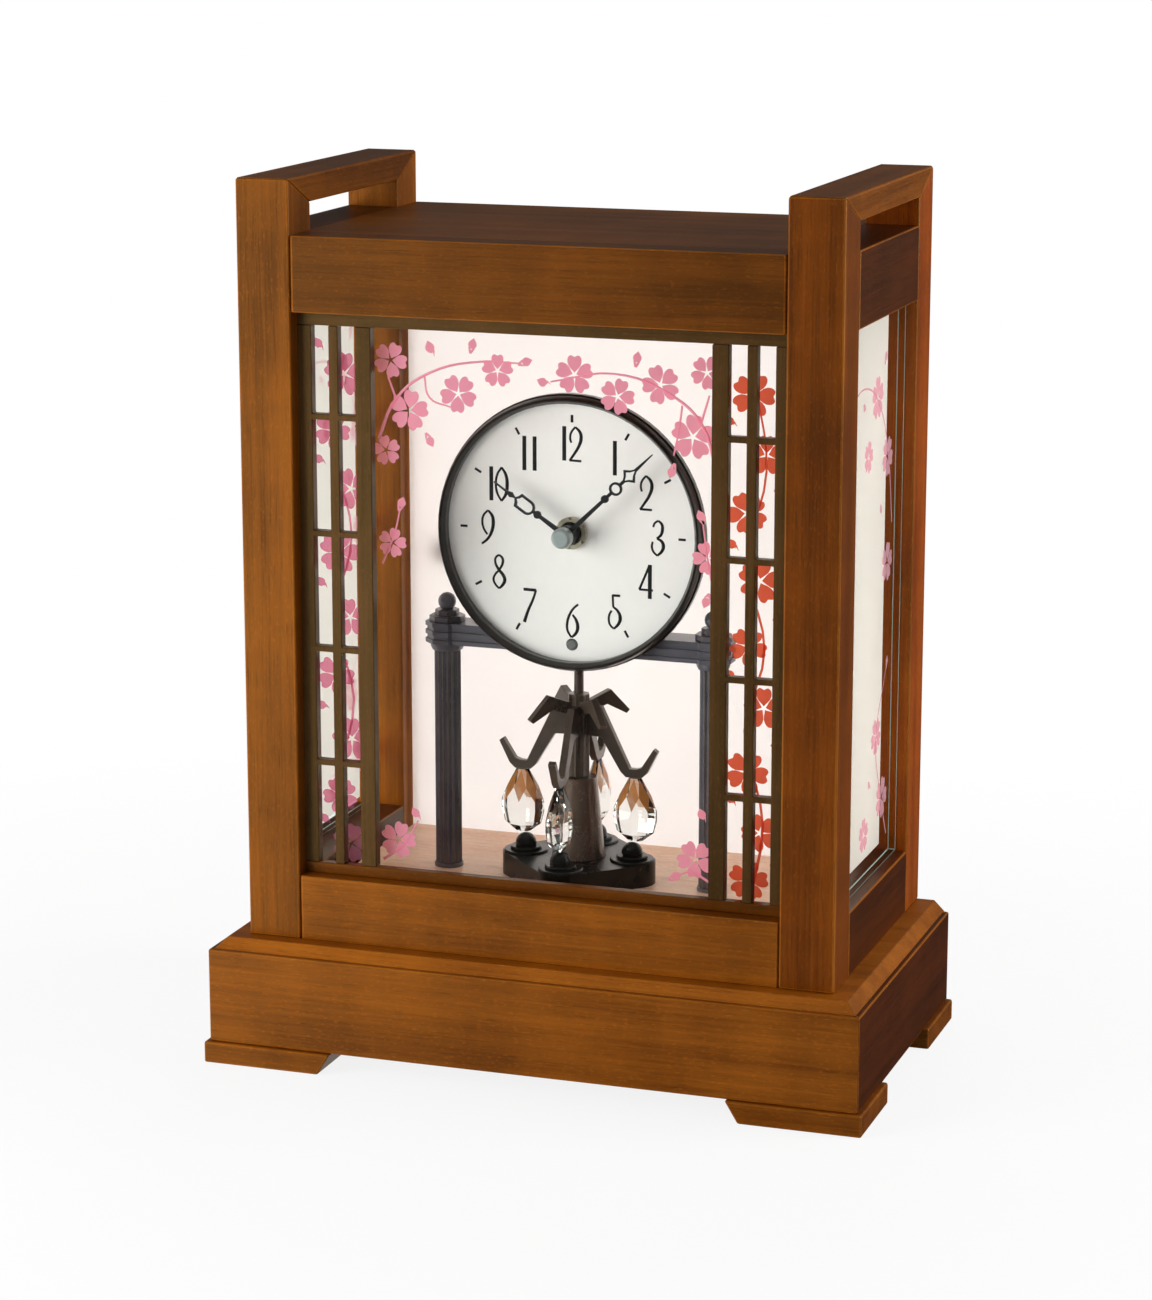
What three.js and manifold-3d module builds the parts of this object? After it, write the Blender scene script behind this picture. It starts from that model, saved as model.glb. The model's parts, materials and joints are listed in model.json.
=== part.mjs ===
// Table clock: a wooden case with carrying handles, glazed on three sides, round a dial on two
// columns and a turning pendulum hung with crystals. Millimetres, X to the right, Y to the back,
// Z up, with the origin on the table under the middle of the plinth.

import * as THREE from 'three';
import { ConvexGeometry } from 'three/addons/geometries/ConvexGeometry.js';
import { mergeVertices } from 'three/addons/utils/BufferGeometryUtils.js';
import Module from 'manifold-3d';

const wasm = await Module();
wasm.setup();

// Clearances
const SEAT_GAP = 0.3; // between a piece and the seat that holds it
const RUN_GAP = 0.3; // round a turning shaft
const CUT_PAST = 1; // how far a cutting tool runs past the face it cuts
const JOIN_DEPTH = 1; // how far one form runs into another that it is joined to

// Facets round a turned piece, and round a small one
const ROUND_SIDES = 32;
const SMALL_SIDES = 24;

// Feet and plinth
const FOOT_HEIGHT = 8.2;
const FOOT_LENGTH = 50.7;
const FOOT_UNDERCUT = 5;
const FOOT_DEPTH = 38.9;
const FOOT_OVERHANG = 1.8;
const PLINTH_HEIGHT = 35.7;
const PLINTH_BOARD = 12;
const PLINTH_SIDE_MARGIN = 12.3;
const PLINTH_FRONT_MARGIN = 11;
const MOULDING_HEIGHT = 4.1;
const MOULDING_SETBACK = 1.7;
const MOULDING_CHAMFER = 4.1;

// Case of posts and rails
const CASE_WIDTH = 225.6;
const CASE_DEPTH = 126;
const CASE_HEIGHT = 282;
const POST_SIDE = 20.5;
const HANDLE_HEIGHT = 10;
const SLOT_HEIGHT = 10;
const UPPER_RAIL_HEIGHT = 27.7;
const LOWER_RAIL_HEIGHT = 24.4;
const FRONT_RAIL_THICKNESS = 13;
const FRONT_RAIL_SETBACK = 0.3;
const RAIL_END_CHAMFER = 0.7;
const TOP_PANEL_THICKNESS = 8;
const FLOOR_HEIGHT = 18.8;
const FLOOR_SIDE_MARGIN = 6;
const FLOOR_REAR_MARGIN = 24.5;

// Front lattice and panes
const LATTICE_SETBACK = 6.3;
const LATTICE_THICKNESS = 4;
const TOP_STRIP_HEIGHT = 5;
const BOTTOM_STRIP_HEIGHT = 4.2;
const STILE_WIDTH = 5.4;
const THIN_BAR_WIDTH = 3.7;
const WIDE_BAR_WIDTH = 6;
const LIGHT_WIDTH = 6.6; // clear width of each narrow light in the lattice
const CROSS_BAR_HEIGHT = 2.2;
const CROSS_BARS = 4;
const LOWEST_LIGHT_HEIGHT = 37.3;
const HIGHEST_LIGHT_HEIGHT = 32.2;
const GLASS_THICKNESS = 3;
const SIDE_GLASS_SETBACK = 4.3;

// Rear door
const DOOR_THICKNESS = 3;
const DOOR_SETBACK = 12.5;
const DOOR_EDGE_GAP = 1.8;
const DOOR_END_GAP = 1;
const PIVOT_INSET = 4.5; // from the door's edge to its pivots
const PIVOT_CLIP_LENGTH = 13;
const PIVOT_CLIP_DEPTH = 8;
const PIVOT_CLIP_WALL = 1.6;
const PIVOT_PIN_RADIUS = 1.5;
const PIVOT_PIN_ENGAGEMENT = 3;
const PIN_SIDES = 12;
const DOOR_KNOB_RADIUS = 5;
const DOOR_KNOB_LENGTH = 6;
const DOOR_KNOB_STEM_RADIUS = 3;
const DOOR_KNOB_STEM_LENGTH = 2.4;
const DOOR_KNOB_EASE = 0.9;
const DOOR_KNOB_INSET = 14;

// Columns and crossbar
const UNIT_SETBACK = 50.5; // from the case front to the columns' axes
const COLUMN_SPACING = 104.2;
const COLUMN_HEIGHT = 87.2;
const COLUMN_RADIUS = 5;
const FLUTES = 16;
const FLUTE_DEPTH = 0.7;
const COLUMN_FOOT_RADIUS = 5.5;
const COLUMN_FOOT_HEIGHT = 1.6;
const COLUMN_FOOT_EASE = 0.4;
const CAPITAL_RADIUS = 6.3;
const CAPITAL_HEIGHT = 3;
const BAR_HEIGHT = 8;
const BAR_DEPTH = 13;
const BAR_GROOVE = 0.7;
const BAR_RIBS = 3;
const BAR_END_RADIUS = 8.2;
const FINIAL_LOW_RADIUS = 6.8;
const FINIAL_HIGH_RADIUS = 4.6;
const FINIAL_STEP = 2.2;
const FINIAL_BALL_RADIUS = 3.4;
const FINIAL_BALL_RINGS = 14;
const FINIAL_BALL_SINK = 0.5;

// Dial and movement
const DIAL_RISE = 38; // from the crossbar's top to the dial's centre
const DIAL_RADIUS = 49.2;
const DIAL_THICKNESS = 1;
const BEZEL_WIDTH = 3.5;
const BEZEL_RIM = 2.1;
const BEZEL_PROUD = 6;
const BEZEL_LIP = 1.3; // width of the slope inside the crown
const BEZEL_LIP_DEPTH = 2.1;
const BEZEL_CROWN = 0.7;
const BEZEL_SHOULDER_DEPTH = 1.8; // of the slope outside the crown
const BEZEL_STEP = 0.7; // how far the outer ring stands out
const BEZEL_STEP_DEPTH = 3.9;
const BEZEL_SIDES = 72;
const MOVEMENT_WIDTH = 55;
const MOVEMENT_HEIGHT = 62;
const MOVEMENT_DEPTH = 26;
const MOVEMENT_WALL = 3;
const BUSH_RADIUS = 4;
const BUSH_LENGTH = 3.2; // in front of the dial
const NUT_RADIUS = 6;
const NUT_THICKNESS = 2;
const NUT_NOTCHES = 6;
const NUT_NOTCH_WIDTH = 1.2;
const SENSOR_RADIUS = 2;
const SENSOR_PROUD = 0.5;
const SENSOR_DROP = 42; // below the dial's centre
const KNOB_RADIUS = 8;
const KNOB_THICKNESS = 5;
const KNOB_LOBES = 14;
const KNOB_LOBE_DEPTH = 0.5;
const VOLUME_RADIUS = 6.5;
const BUTTON_RADIUS = 4;
const BUTTON_PROUD = 4;
const BUTTON_DEPTH = 3; // sunk in the movement
const BUTTON_TRAVEL = 1.5;
const CONTROL_SPREAD = 19;
const CONTROL_RISE = 14; // above the arbor
const BATTERY_RADIUS = 7.1;
const BATTERY_LENGTH = 50;
const BATTERY_NIB_RADIUS = 2.7;
const BATTERY_NIB_LENGTH = 1.5;

// Hands
const ARBOR_RADIUS = 1.4;
const ARBOR_GAP = 0.6; // inside the hour hand's pipe
const PIPE_WALL = 0.9;
const HAND_THICKNESS = 0.8;
const HOUR_HAND_PROUD = 6.8; // from the dial to the back of the hour hand
const HAND_SPACING = 0.8; // between the two hands
const HAND_BOSS_RADIUS = 3.9;
const COLLET_RADIUS = 3.6; // of the hour hand, in front of the bush
const HAND_BAR_ROOT = 1; // half widths of the bars at the boss and between the ornaments
const HAND_BAR_TIP = 0.6;
const HAND_RIM = 0.85; // width of metal round each opening
const HAND_BALL_RADIUS = 1.45;
const HOUR_HAND_LENGTH = 33.4;
const HOUR_BALL_AT = 13.1; // distances are from the arbor
const HOUR_SHIELD_FROM = 14.8;
const HOUR_SHIELD_HORNS = 22.2;
const HOUR_SHIELD_TO = 23.7;
const HOUR_SHIELD_HALF = 2.8;
const HOUR_LEAF_WIDE = 25.4;
const HOUR_LEAF_HALF = 1.05;
const HOUR_LEAF_TO = 29.3;
const HOUR_NEEDLE_HALF = 0.4; // where the leaf has narrowed to a needle
const MINUTE_HAND_LENGTH = 46.5;
const MINUTE_BALL_AT = 21.6;
const MINUTE_RING_AT = 27.3;
const MINUTE_RING_RADIUS = 2.5;
const MINUTE_KITE_FROM = 30.8;
const MINUTE_KITE_WIDE = 34.4;
const MINUTE_KITE_TO = 38.6;
const MINUTE_KITE_HALF = 3.1;
const KITE_RIM = 1.15; // width of metal at its corners
const KITE_BOW = 0.85; // how far its sides keep from its middle, as a share of straight sides
const MINUTE_TIP_ROOT = 0.6;
const HAND_TIP_HALF = 0.2;
const CAP_RADIUS = 3.8;
const CAP_LENGTH = 4.4;
const CAP_EASE = 0.9;
const MINUTES_SHOWN = 7.7;
const HOURS_SHOWN = 10;

// Pendulum
const BASE_HEIGHT = 8.7;
const PAD_RADIUS = 8.8;
const PAD_ORBIT = 21;
const PAD_HEIGHT = 0.8;
const PAD_EASE = 0.4;
const BOSS_STEP_RADIUS = 5.9;
const BOSS_STEP_HEIGHT = 1.2;
const BOSS_RADIUS = 4;
const BOSS_RISE = 0.9; // of the ball's centre over the step
const BOSS_ROUNDS = 6;
const CONE_FOOT_RADIUS = 10.2;
const CONE_FOOT_HEIGHT = 3;
const CONE_SKIRT_RADIUS = 9.6;
const CONE_TOP_RADIUS = 6.8;
const HUB_RADIUS = 4.2;
const HUB_HEIGHT = 31.5;
const HUB_DROP = 1; // below the arms' feet
const HUB_RIBS = 8;
const HUB_RIB_DEPTH = 0.5;
const ROD_RADIUS = 1.8;
const ROD_SIDES = 16;
const ROD_ENGAGEMENT = 4;
const ARM_THICKNESS = 2.8;
const ARM_REACH = 22.2; // from the axis to the middle of a crystal
const ARM_UNDERSIDE = [[0, 15], [9.1, 14.6], [16.7, 2], [18.8, 0]]; // out, and up from the foot
const ARM_HOOK = [[24.9, 0], [27.1, 2], [31.2, 10.3], [29.6, 11.5], [24.8, 4], [22.7, 3.3]];
const ARM_OUTSIDE = [[20.3, 3.3], [9.2, 26.3], [0, 26.3]];
const WING_UNDERSIDE = [[0, 22], [8.6, 24.4], [11.2, 25.4], [19.4, 21]];
const WING_OUTSIDE = [[20.7, 22.3], [12.8, 30.9], [4.8, 27.8], [0, 27.8]];
const CRYSTAL_HEIGHT = 24;
const CRYSTAL_RADIAL = 16.9;
const CRYSTAL_TANGENTIAL = 9.6;
const CRYSTAL_SIDES = 8;
const CRYSTAL_CLEARANCE = 0.7; // over the bosses

// Speaker under the plinth top
const SPEAKER_RADIUS = 28;
const SPEAKER_RIM = 3;
const SPEAKER_MAGNET_RADIUS = 16;
const SPEAKER_MAGNET_HEIGHT = 10;
const SPEAKER_DEPTH = 20;

// Levels and planes worked out from the sizes above
const PLINTH_WIDTH = CASE_WIDTH + 2 * PLINTH_SIDE_MARGIN;
const PLINTH_DEPTH = CASE_DEPTH + PLINTH_FRONT_MARGIN;
const BACK_Y = PLINTH_DEPTH / 2;
const FRONT_Y = BACK_Y - CASE_DEPTH;
const OUTER_X = CASE_WIDTH / 2;
const INNER_X = OUTER_X - POST_SIDE;
const FRONT_POST_BACK_Y = FRONT_Y + POST_SIDE;
const REAR_POST_FRONT_Y = BACK_Y - POST_SIDE;
const PLINTH_TOP_Z = FOOT_HEIGHT + PLINTH_HEIGHT;
const CASE_Z = PLINTH_TOP_Z + MOULDING_HEIGHT;
const TOP_Z = CASE_Z + CASE_HEIGHT;
const HANDLE_Z = TOP_Z - HANDLE_HEIGHT;
const RAIL_TOP_Z = HANDLE_Z - SLOT_HEIGHT;
const WINDOW_TOP_Z = RAIL_TOP_Z - UPPER_RAIL_HEIGHT;
const WINDOW_Z = CASE_Z + LOWER_RAIL_HEIGHT;
const PANEL_Z = RAIL_TOP_Z - TOP_PANEL_THICKNESS;
const FLOOR_Z = CASE_Z + FLOOR_HEIGHT;
const RAIL_FRONT_Y = FRONT_Y + FRONT_RAIL_SETBACK;
const RAIL_BACK_Y = RAIL_FRONT_Y + FRONT_RAIL_THICKNESS;
const LATTICE_Y = FRONT_Y + LATTICE_SETBACK;
const GLASS_Y = LATTICE_Y + LATTICE_THICKNESS;
const UNIT_Y = FRONT_Y + UNIT_SETBACK;
const BAR_Z = FLOOR_Z + COLUMN_HEIGHT;
const BAR_TOP_Z = BAR_Z + BAR_HEIGHT;
const DIAL_Z = BAR_TOP_Z + DIAL_RISE;
const DIAL_BACK_Y = UNIT_Y - BAR_DEPTH / 2 - SEAT_GAP;
const DIAL_Y = DIAL_BACK_Y - DIAL_THICKNESS;
const MOVEMENT_BACK_Y = DIAL_BACK_Y + MOVEMENT_DEPTH;
const HOUR_HAND_Y = DIAL_Y - HOUR_HAND_PROUD;
const MINUTE_HAND_Y = HOUR_HAND_Y - HAND_THICKNESS - HAND_SPACING;
const HANDS_FRONT_Y = MINUTE_HAND_Y - HAND_THICKNESS;
const PIPE_BORE = ARBOR_RADIUS + ARBOR_GAP;
const PIPE_RADIUS = PIPE_BORE + PIPE_WALL;
const BUSH_BORE = PIPE_RADIUS + RUN_GAP;
const BASE_TOP_Z = FLOOR_Z + BASE_HEIGHT;
const BOSS_TOP_Z = BASE_TOP_Z + PAD_HEIGHT + BOSS_STEP_HEIGHT + BOSS_RISE + BOSS_RADIUS;
const ARM_FOOT_Z = BOSS_TOP_Z + CRYSTAL_CLEARANCE + CRYSTAL_HEIGHT + SEAT_GAP;
const HUB_Z = ARM_FOOT_Z - HUB_DROP;
const CONE_TOP_Z = HUB_Z - RUN_GAP;
const HUB_TOP_Z = HUB_Z + HUB_HEIGHT;

// Finishes
const walnut = new THREE.MeshStandardMaterial({ color: 0x7a4a22, roughness: 0.45, metalness: 0 });
const floorWood = new THREE.MeshStandardMaterial({ color: 0xc08a66, roughness: 0.4, metalness: 0 });
const bronze = new THREE.MeshStandardMaterial({ color: 0x2b2422, roughness: 0.35, metalness: 0.6 });
const blackPlastic = new THREE.MeshStandardMaterial({ color: 0x151616, roughness: 0.35, metalness: 0 });
const greyPlastic = new THREE.MeshStandardMaterial({ color: 0x8a8c8e, roughness: 0.55, metalness: 0 });
const dialWhite = new THREE.MeshStandardMaterial({ color: 0xe8eae8, roughness: 0.6, metalness: 0 });
const handBlack = new THREE.MeshStandardMaterial({ color: 0x101314, roughness: 0.4, metalness: 0.2 });
const steel = new THREE.MeshStandardMaterial({ color: 0xc4c8ca, roughness: 0.25, metalness: 1 });
const brass = new THREE.MeshStandardMaterial({ color: 0xb9a878, roughness: 0.3, metalness: 1 });
const paneGlass = new THREE.MeshStandardMaterial({
  color: 0xf6fbf8, roughness: 0.02, metalness: 0, transparent: true, opacity: 0.2,
});
const frostedPane = new THREE.MeshStandardMaterial({ color: 0xfdf2ee, roughness: 0.5, metalness: 0 });
const crystal = new THREE.MeshStandardMaterial({
  color: 0xf4f6f6, roughness: 0.02, metalness: 0, transparent: true, opacity: 0.35,
});

const clock = new THREE.Group();

function place(name, geometry, material) {
  const mesh = new THREE.Mesh(geometry, material);
  mesh.name = name;
  clock.add(mesh);
}

// A closed mesh as a solid that can be joined and cut
function solid(geometry) {
  const bare = geometry.clone();
  bare.deleteAttribute('normal');
  bare.deleteAttribute('uv');
  const merged = mergeVertices(bare, 1e-4);
  const corners = merged.index.array;
  const triangles = [];
  for (let i = 0; i < corners.length; i += 3) {
    const [a, b, c] = [corners[i], corners[i + 1], corners[i + 2]];
    if (a !== b && b !== c && c !== a) triangles.push(a, b, c);
  }
  return new wasm.Manifold(new wasm.Mesh({
    numProp: 3,
    vertProperties: new Float32Array(merged.attributes.position.array),
    triVerts: new Uint32Array(triangles),
  }));
}

function geometryOf(body) {
  const mesh = body.getMesh();
  const geometry = new THREE.BufferGeometry();
  geometry.setAttribute('position', new THREE.BufferAttribute(mesh.vertProperties, 3));
  geometry.setIndex(new THREE.BufferAttribute(mesh.triVerts, 1));
  geometry.computeVertexNormals();
  return geometry;
}

function join(...pieces) {
  return geometryOf(pieces.map(solid).reduce((whole, piece) => whole.add(piece)));
}

function cut(body, ...tools) {
  return geometryOf(tools.map(solid).reduce((rest, tool) => rest.subtract(tool), solid(body)));
}

function box(low, high) {
  const size = high.map((value, i) => value - low[i]);
  const geometry = new THREE.BoxGeometry(...size);
  return geometry.translate(...low.map((value, i) => value + size[i] / 2));
}

// Prisms: an outline in the plane across one axis, run along that axis
const X = new THREE.Vector3(1, 0, 0);
const Y = new THREE.Vector3(0, 1, 0);
const Z = new THREE.Vector3(0, 0, 1);

function outline(points) {
  return new THREE.Shape(points.map(([a, b]) => new THREE.Vector2(a, b)));
}

function extrude(shape, length, curveSegments = 12) {
  return new THREE.ExtrudeGeometry(shape, { depth: length, bevelEnabled: false, curveSegments });
}

// Outline of (y, z) run from one x to another
function prismX(shape, from, to) {
  const turned = new THREE.Matrix4().makeBasis(Y, Z, X);
  return extrude(shape, to - from).applyMatrix4(turned).translate(from, 0, 0);
}

// Outline of (x, z) run from one y back to another
function prismY(shape, from, to, curveSegments) {
  const turned = new THREE.Matrix4().makeBasis(X, Z, Y.clone().negate());
  return extrude(shape, to - from, curveSegments).applyMatrix4(turned).translate(0, to, 0);
}

// Outline of (x, y) run from one z up to another
function prismZ(shape, from, to, curveSegments) {
  return extrude(shape, to - from, curveSegments).translate(0, 0, from);
}

// A turned piece: (radius, height) from the foot up, about an upright axis or about the dial's
function turned(profile, sides) {
  const points = profile.map(([radius, height]) => new THREE.Vector2(radius, height));
  return new THREE.LatheGeometry(points, sides);
}

function upright(profile, sides, x, y) {
  return turned(profile, sides).rotateX(Math.PI / 2).translate(x, y, 0);
}

function alongDial(profile, sides, x = 0, z = DIAL_Z) {
  return turned(profile, sides).translate(x, 0, z);
}

function disc(radius, y0, y1, sides, x, z) {
  return alongDial([[0, y0], [radius, y0], [radius, y1], [0, y1]], sides, x, z);
}

// A round outline whose edge rises and falls in even scallops
function scalloped(radius, depth, count, stepsEach) {
  const points = [];
  for (let i = 0; i < count * stepsEach; i += 1) {
    const angle = (2 * Math.PI * i) / (count * stepsEach);
    const reach = radius - depth * Math.abs(Math.sin((angle * count) / 2));
    points.push([reach * Math.cos(angle), reach * Math.sin(angle)]);
  }
  return outline(points);
}

const SCALLOP_STEPS = 4;
const SIDES = [['left', -1], ['right', 1]];
const ENDS = [['front', -1], ['rear', 1]];

// Feet: corner blocks whose inner ends lean in towards the ground
for (const [endName, end] of ENDS) {
  for (const [sideName, side] of SIDES) {
    const outerX = side * (PLINTH_WIDTH / 2 + FOOT_OVERHANG);
    const outerY = end * (PLINTH_DEPTH / 2 + FOOT_OVERHANG);
    const inner = outerX - side * FOOT_LENGTH;
    const corners = [
      [outerX, 0], [outerX, FOOT_HEIGHT], [inner, FOOT_HEIGHT], [inner + side * FOOT_UNDERCUT, 0],
    ];
    const innerY = outerY - end * FOOT_DEPTH;
    const foot = prismY(outline(corners), Math.min(outerY, innerY), Math.max(outerY, innerY));
    place(`foot_${endName}_${sideName}`, foot, walnut);
  }
}

// Plinth: four boards mitred at the corners
const plinthX = PLINTH_WIDTH / 2;
const plinthY = PLINTH_DEPTH / 2;
for (const [endName, end] of ENDS) {
  const board = outline([
    [-plinthX, end * plinthY], [plinthX, end * plinthY],
    [plinthX - PLINTH_BOARD, end * (plinthY - PLINTH_BOARD)],
    [PLINTH_BOARD - plinthX, end * (plinthY - PLINTH_BOARD)],
  ]);
  place(`plinth_${endName}`, prismZ(board, FOOT_HEIGHT, PLINTH_TOP_Z), walnut);
}
for (const [sideName, side] of SIDES) {
  const board = outline([
    [side * plinthX, -plinthY], [side * plinthX, plinthY],
    [side * (plinthX - PLINTH_BOARD), plinthY - PLINTH_BOARD],
    [side * (plinthX - PLINTH_BOARD), PLINTH_BOARD - plinthY],
  ]);
  place(`plinth_${sideName}`, prismZ(board, FOOT_HEIGHT, PLINTH_TOP_Z), walnut);
}

// Pivots of the rear door: their axis, and the holes that take their pins
const doorBackY = BACK_Y - DOOR_SETBACK;
const doorFrontY = doorBackY - DOOR_THICKNESS;
const doorEdgeX = INNER_X - DOOR_EDGE_GAP;
const pivotX = doorEdgeX - PIVOT_INSET;
const pivotY = (doorBackY + doorFrontY) / 2;
const doorLowZ = CASE_Z + DOOR_END_GAP;
const doorHighZ = PANEL_Z - DOOR_END_GAP;
const pinHoleRadius = PIVOT_PIN_RADIUS + RUN_GAP;

function pinHole(from, to) {
  const profile = [[0, from], [pinHoleRadius, from], [pinHoleRadius, to], [0, to]];
  return upright(profile, PIN_SIDES, pivotX, pivotY);
}

// Plinth top: the board's edge is chamfered on the three sides that show
function chamferedBoard() {
  const lowX = plinthX - MOULDING_SETBACK;
  const lowY = MOULDING_SETBACK - plinthY;
  const lean = MOULDING_CHAMFER;
  const across = outline([
    [-lowX, PLINTH_TOP_Z], [lowX, PLINTH_TOP_Z], [lowX - lean, CASE_Z], [lean - lowX, CASE_Z],
  ]);
  const along = outline([
    [lowY, PLINTH_TOP_Z], [plinthY, PLINTH_TOP_Z], [plinthY, CASE_Z], [lowY + lean, CASE_Z],
  ]);
  const frontAndBack = solid(prismX(along, -plinthX, plinthX));
  return geometryOf(frontAndBack.intersect(solid(prismY(across, -plinthY, plinthY))));
}
const lowPinHole = pinHole(CASE_Z - PIVOT_PIN_ENGAGEMENT, CASE_Z + CUT_PAST);
place('plinth_top', cut(chamferedBoard(), lowPinHole), walnut);

// Speaker: a basket with its rim against the plinth top and its magnet below
const speakerLowZ = PLINTH_TOP_Z - SPEAKER_DEPTH;
const speakerRimZ = PLINTH_TOP_Z - SPEAKER_RIM;
const speaker = upright([
  [0, speakerLowZ], [SPEAKER_MAGNET_RADIUS, speakerLowZ],
  [SPEAKER_MAGNET_RADIUS, speakerLowZ + SPEAKER_MAGNET_HEIGHT],
  [SPEAKER_RADIUS - SPEAKER_RIM, speakerRimZ], [SPEAKER_RADIUS, speakerRimZ],
  [SPEAKER_RADIUS, PLINTH_TOP_Z], [0, PLINTH_TOP_Z],
], ROUND_SIDES, 0, 0);
place('speaker', geometryOf(solid(speaker)), blackPlastic);

// Posts and carrying handles: each bar is mitred into the tops of two posts
for (const [sideName, side] of SIDES) {
  const [x0, x1] = side < 0 ? [-OUTER_X, -INNER_X] : [INNER_X, OUTER_X];
  const frontPost = outline([
    [FRONT_Y, CASE_Z], [FRONT_POST_BACK_Y, CASE_Z], [FRONT_POST_BACK_Y, HANDLE_Z], [FRONT_Y, TOP_Z],
  ]);
  const rearPost = outline([
    [BACK_Y, CASE_Z], [BACK_Y, TOP_Z], [REAR_POST_FRONT_Y, HANDLE_Z], [REAR_POST_FRONT_Y, CASE_Z],
  ]);
  const handle = outline([
    [FRONT_Y, TOP_Z], [FRONT_POST_BACK_Y, HANDLE_Z], [REAR_POST_FRONT_Y, HANDLE_Z], [BACK_Y, TOP_Z],
  ]);
  place(`post_front_${sideName}`, prismX(frontPost, x0, x1), walnut);
  place(`post_rear_${sideName}`, prismX(rearPost, x0, x1), walnut);
  place(`handle_${sideName}`, prismX(handle, x0, x1), walnut);

  // Side rails fill the frame above and below the side window
  const railFrom = [x0, FRONT_POST_BACK_Y];
  const railTo = [x1, REAR_POST_FRONT_Y];
  place(`upper_rail_${sideName}`, box([...railFrom, WINDOW_TOP_Z], [...railTo, RAIL_TOP_Z]), walnut);
  place(`lower_rail_${sideName}`, box([...railFrom, CASE_Z], [...railTo, WINDOW_Z]), walnut);

  const paneOuter = side * (OUTER_X - SIDE_GLASS_SETBACK);
  const paneInner = paneOuter - side * GLASS_THICKNESS;
  const pane = box(
    [Math.min(paneOuter, paneInner), FRONT_POST_BACK_Y + SEAT_GAP, WINDOW_Z + SEAT_GAP],
    [Math.max(paneOuter, paneInner), REAR_POST_FRONT_Y - SEAT_GAP, WINDOW_TOP_Z - SEAT_GAP],
  );
  place(`side_glass_${sideName}`, pane, paneGlass);
}

// Front rails: their ends are eased where they meet the posts
const railPlan = outline([
  [-INNER_X, RAIL_BACK_Y], [INNER_X, RAIL_BACK_Y], [INNER_X, RAIL_FRONT_Y + RAIL_END_CHAMFER],
  [INNER_X - RAIL_END_CHAMFER, RAIL_FRONT_Y], [RAIL_END_CHAMFER - INNER_X, RAIL_FRONT_Y],
  [-INNER_X, RAIL_FRONT_Y + RAIL_END_CHAMFER],
]);
place('front_top_rail', prismZ(railPlan, WINDOW_TOP_Z, RAIL_TOP_Z), walnut);
place('front_bottom_rail', prismZ(railPlan, CASE_Z, WINDOW_Z), walnut);

// Top panel and raised floor
const panelBoard = box([-INNER_X, RAIL_BACK_Y, PANEL_Z], [INNER_X, BACK_Y, RAIL_TOP_Z]);
const highPinHole = pinHole(PANEL_Z - CUT_PAST, PANEL_Z + PIVOT_PIN_ENGAGEMENT);
place('top_panel', cut(panelBoard, highPinHole), walnut);
const floorX = INNER_X - FLOOR_SIDE_MARGIN;
const floorBackY = BACK_Y - FLOOR_REAR_MARGIN;
place('floor_board', box([-floorX, RAIL_BACK_Y, CASE_Z], [floorX, floorBackY, FLOOR_Z]), floorWood);

// Front lattice: two strips right across, and between them two grids of narrow lights
const latticeLowZ = WINDOW_Z + BOTTOM_STRIP_HEIGHT;
const latticeHighZ = WINDOW_TOP_Z - TOP_STRIP_HEIGHT;
const topStrip = box([-INNER_X, LATTICE_Y, latticeHighZ], [INNER_X, GLASS_Y, WINDOW_TOP_Z]);
const bottomStrip = box([-INNER_X, LATTICE_Y, WINDOW_Z], [INNER_X, GLASS_Y, latticeLowZ]);
place('lattice_top_strip', topStrip, walnut);
place('lattice_bottom_strip', bottomStrip, walnut);

const latticeInnerX = INNER_X - STILE_WIDTH - 2 * LIGHT_WIDTH - THIN_BAR_WIDTH - WIDE_BAR_WIDTH;
const lowestBarZ = latticeLowZ + LOWEST_LIGHT_HEIGHT;
const highestBarZ = latticeHighZ - HIGHEST_LIGHT_HEIGHT - CROSS_BAR_HEIGHT;
const crossBarPitch = (highestBarZ - lowestBarZ) / (CROSS_BARS - 1);

function latticeGrid(side) {
  const slab = (near, far, low, high, through) => {
    const [x0, x1] = side < 0 ? [-far, -near] : [near, far];
    return box([x0, LATTICE_Y - through, low], [x1, GLASS_Y + through, high]);
  };
  const firstLight = latticeInnerX + WIDE_BAR_WIDTH;
  const lights = [];
  for (const near of [firstLight, firstLight + LIGHT_WIDTH + THIN_BAR_WIDTH]) {
    const far = near + LIGHT_WIDTH;
    lights.push(slab(near, far, latticeLowZ - CUT_PAST, lowestBarZ, CUT_PAST));
    for (let row = 0; row < CROSS_BARS - 1; row += 1) {
      const barZ = lowestBarZ + row * crossBarPitch;
      lights.push(slab(near, far, barZ + CROSS_BAR_HEIGHT, barZ + crossBarPitch, CUT_PAST));
    }
    lights.push(slab(near, far, highestBarZ + CROSS_BAR_HEIGHT, latticeHighZ + CUT_PAST, CUT_PAST));
  }
  return cut(slab(latticeInnerX, INNER_X, latticeLowZ, latticeHighZ, 0), ...lights);
}
for (const [sideName, side] of SIDES) {
  place(`lattice_${sideName}`, latticeGrid(side), walnut);
}
const frontPaneX = INNER_X - SEAT_GAP;
place('front_glass', box(
  [-frontPaneX, GLASS_Y, WINDOW_Z + SEAT_GAP],
  [frontPaneX, GLASS_Y + GLASS_THICKNESS, WINDOW_TOP_Z - SEAT_GAP],
), paneGlass);

// Rear door: a pane held in two clips, each with a pin that turns in the case
const paneLowZ = doorLowZ + PIVOT_CLIP_WALL;
const paneHighZ = doorHighZ - PIVOT_CLIP_WALL;
const doorPane = box([-doorEdgeX, doorFrontY, paneLowZ], [doorEdgeX, doorBackY, paneHighZ]);
place('rear_door', doorPane, frostedPane);

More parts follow.
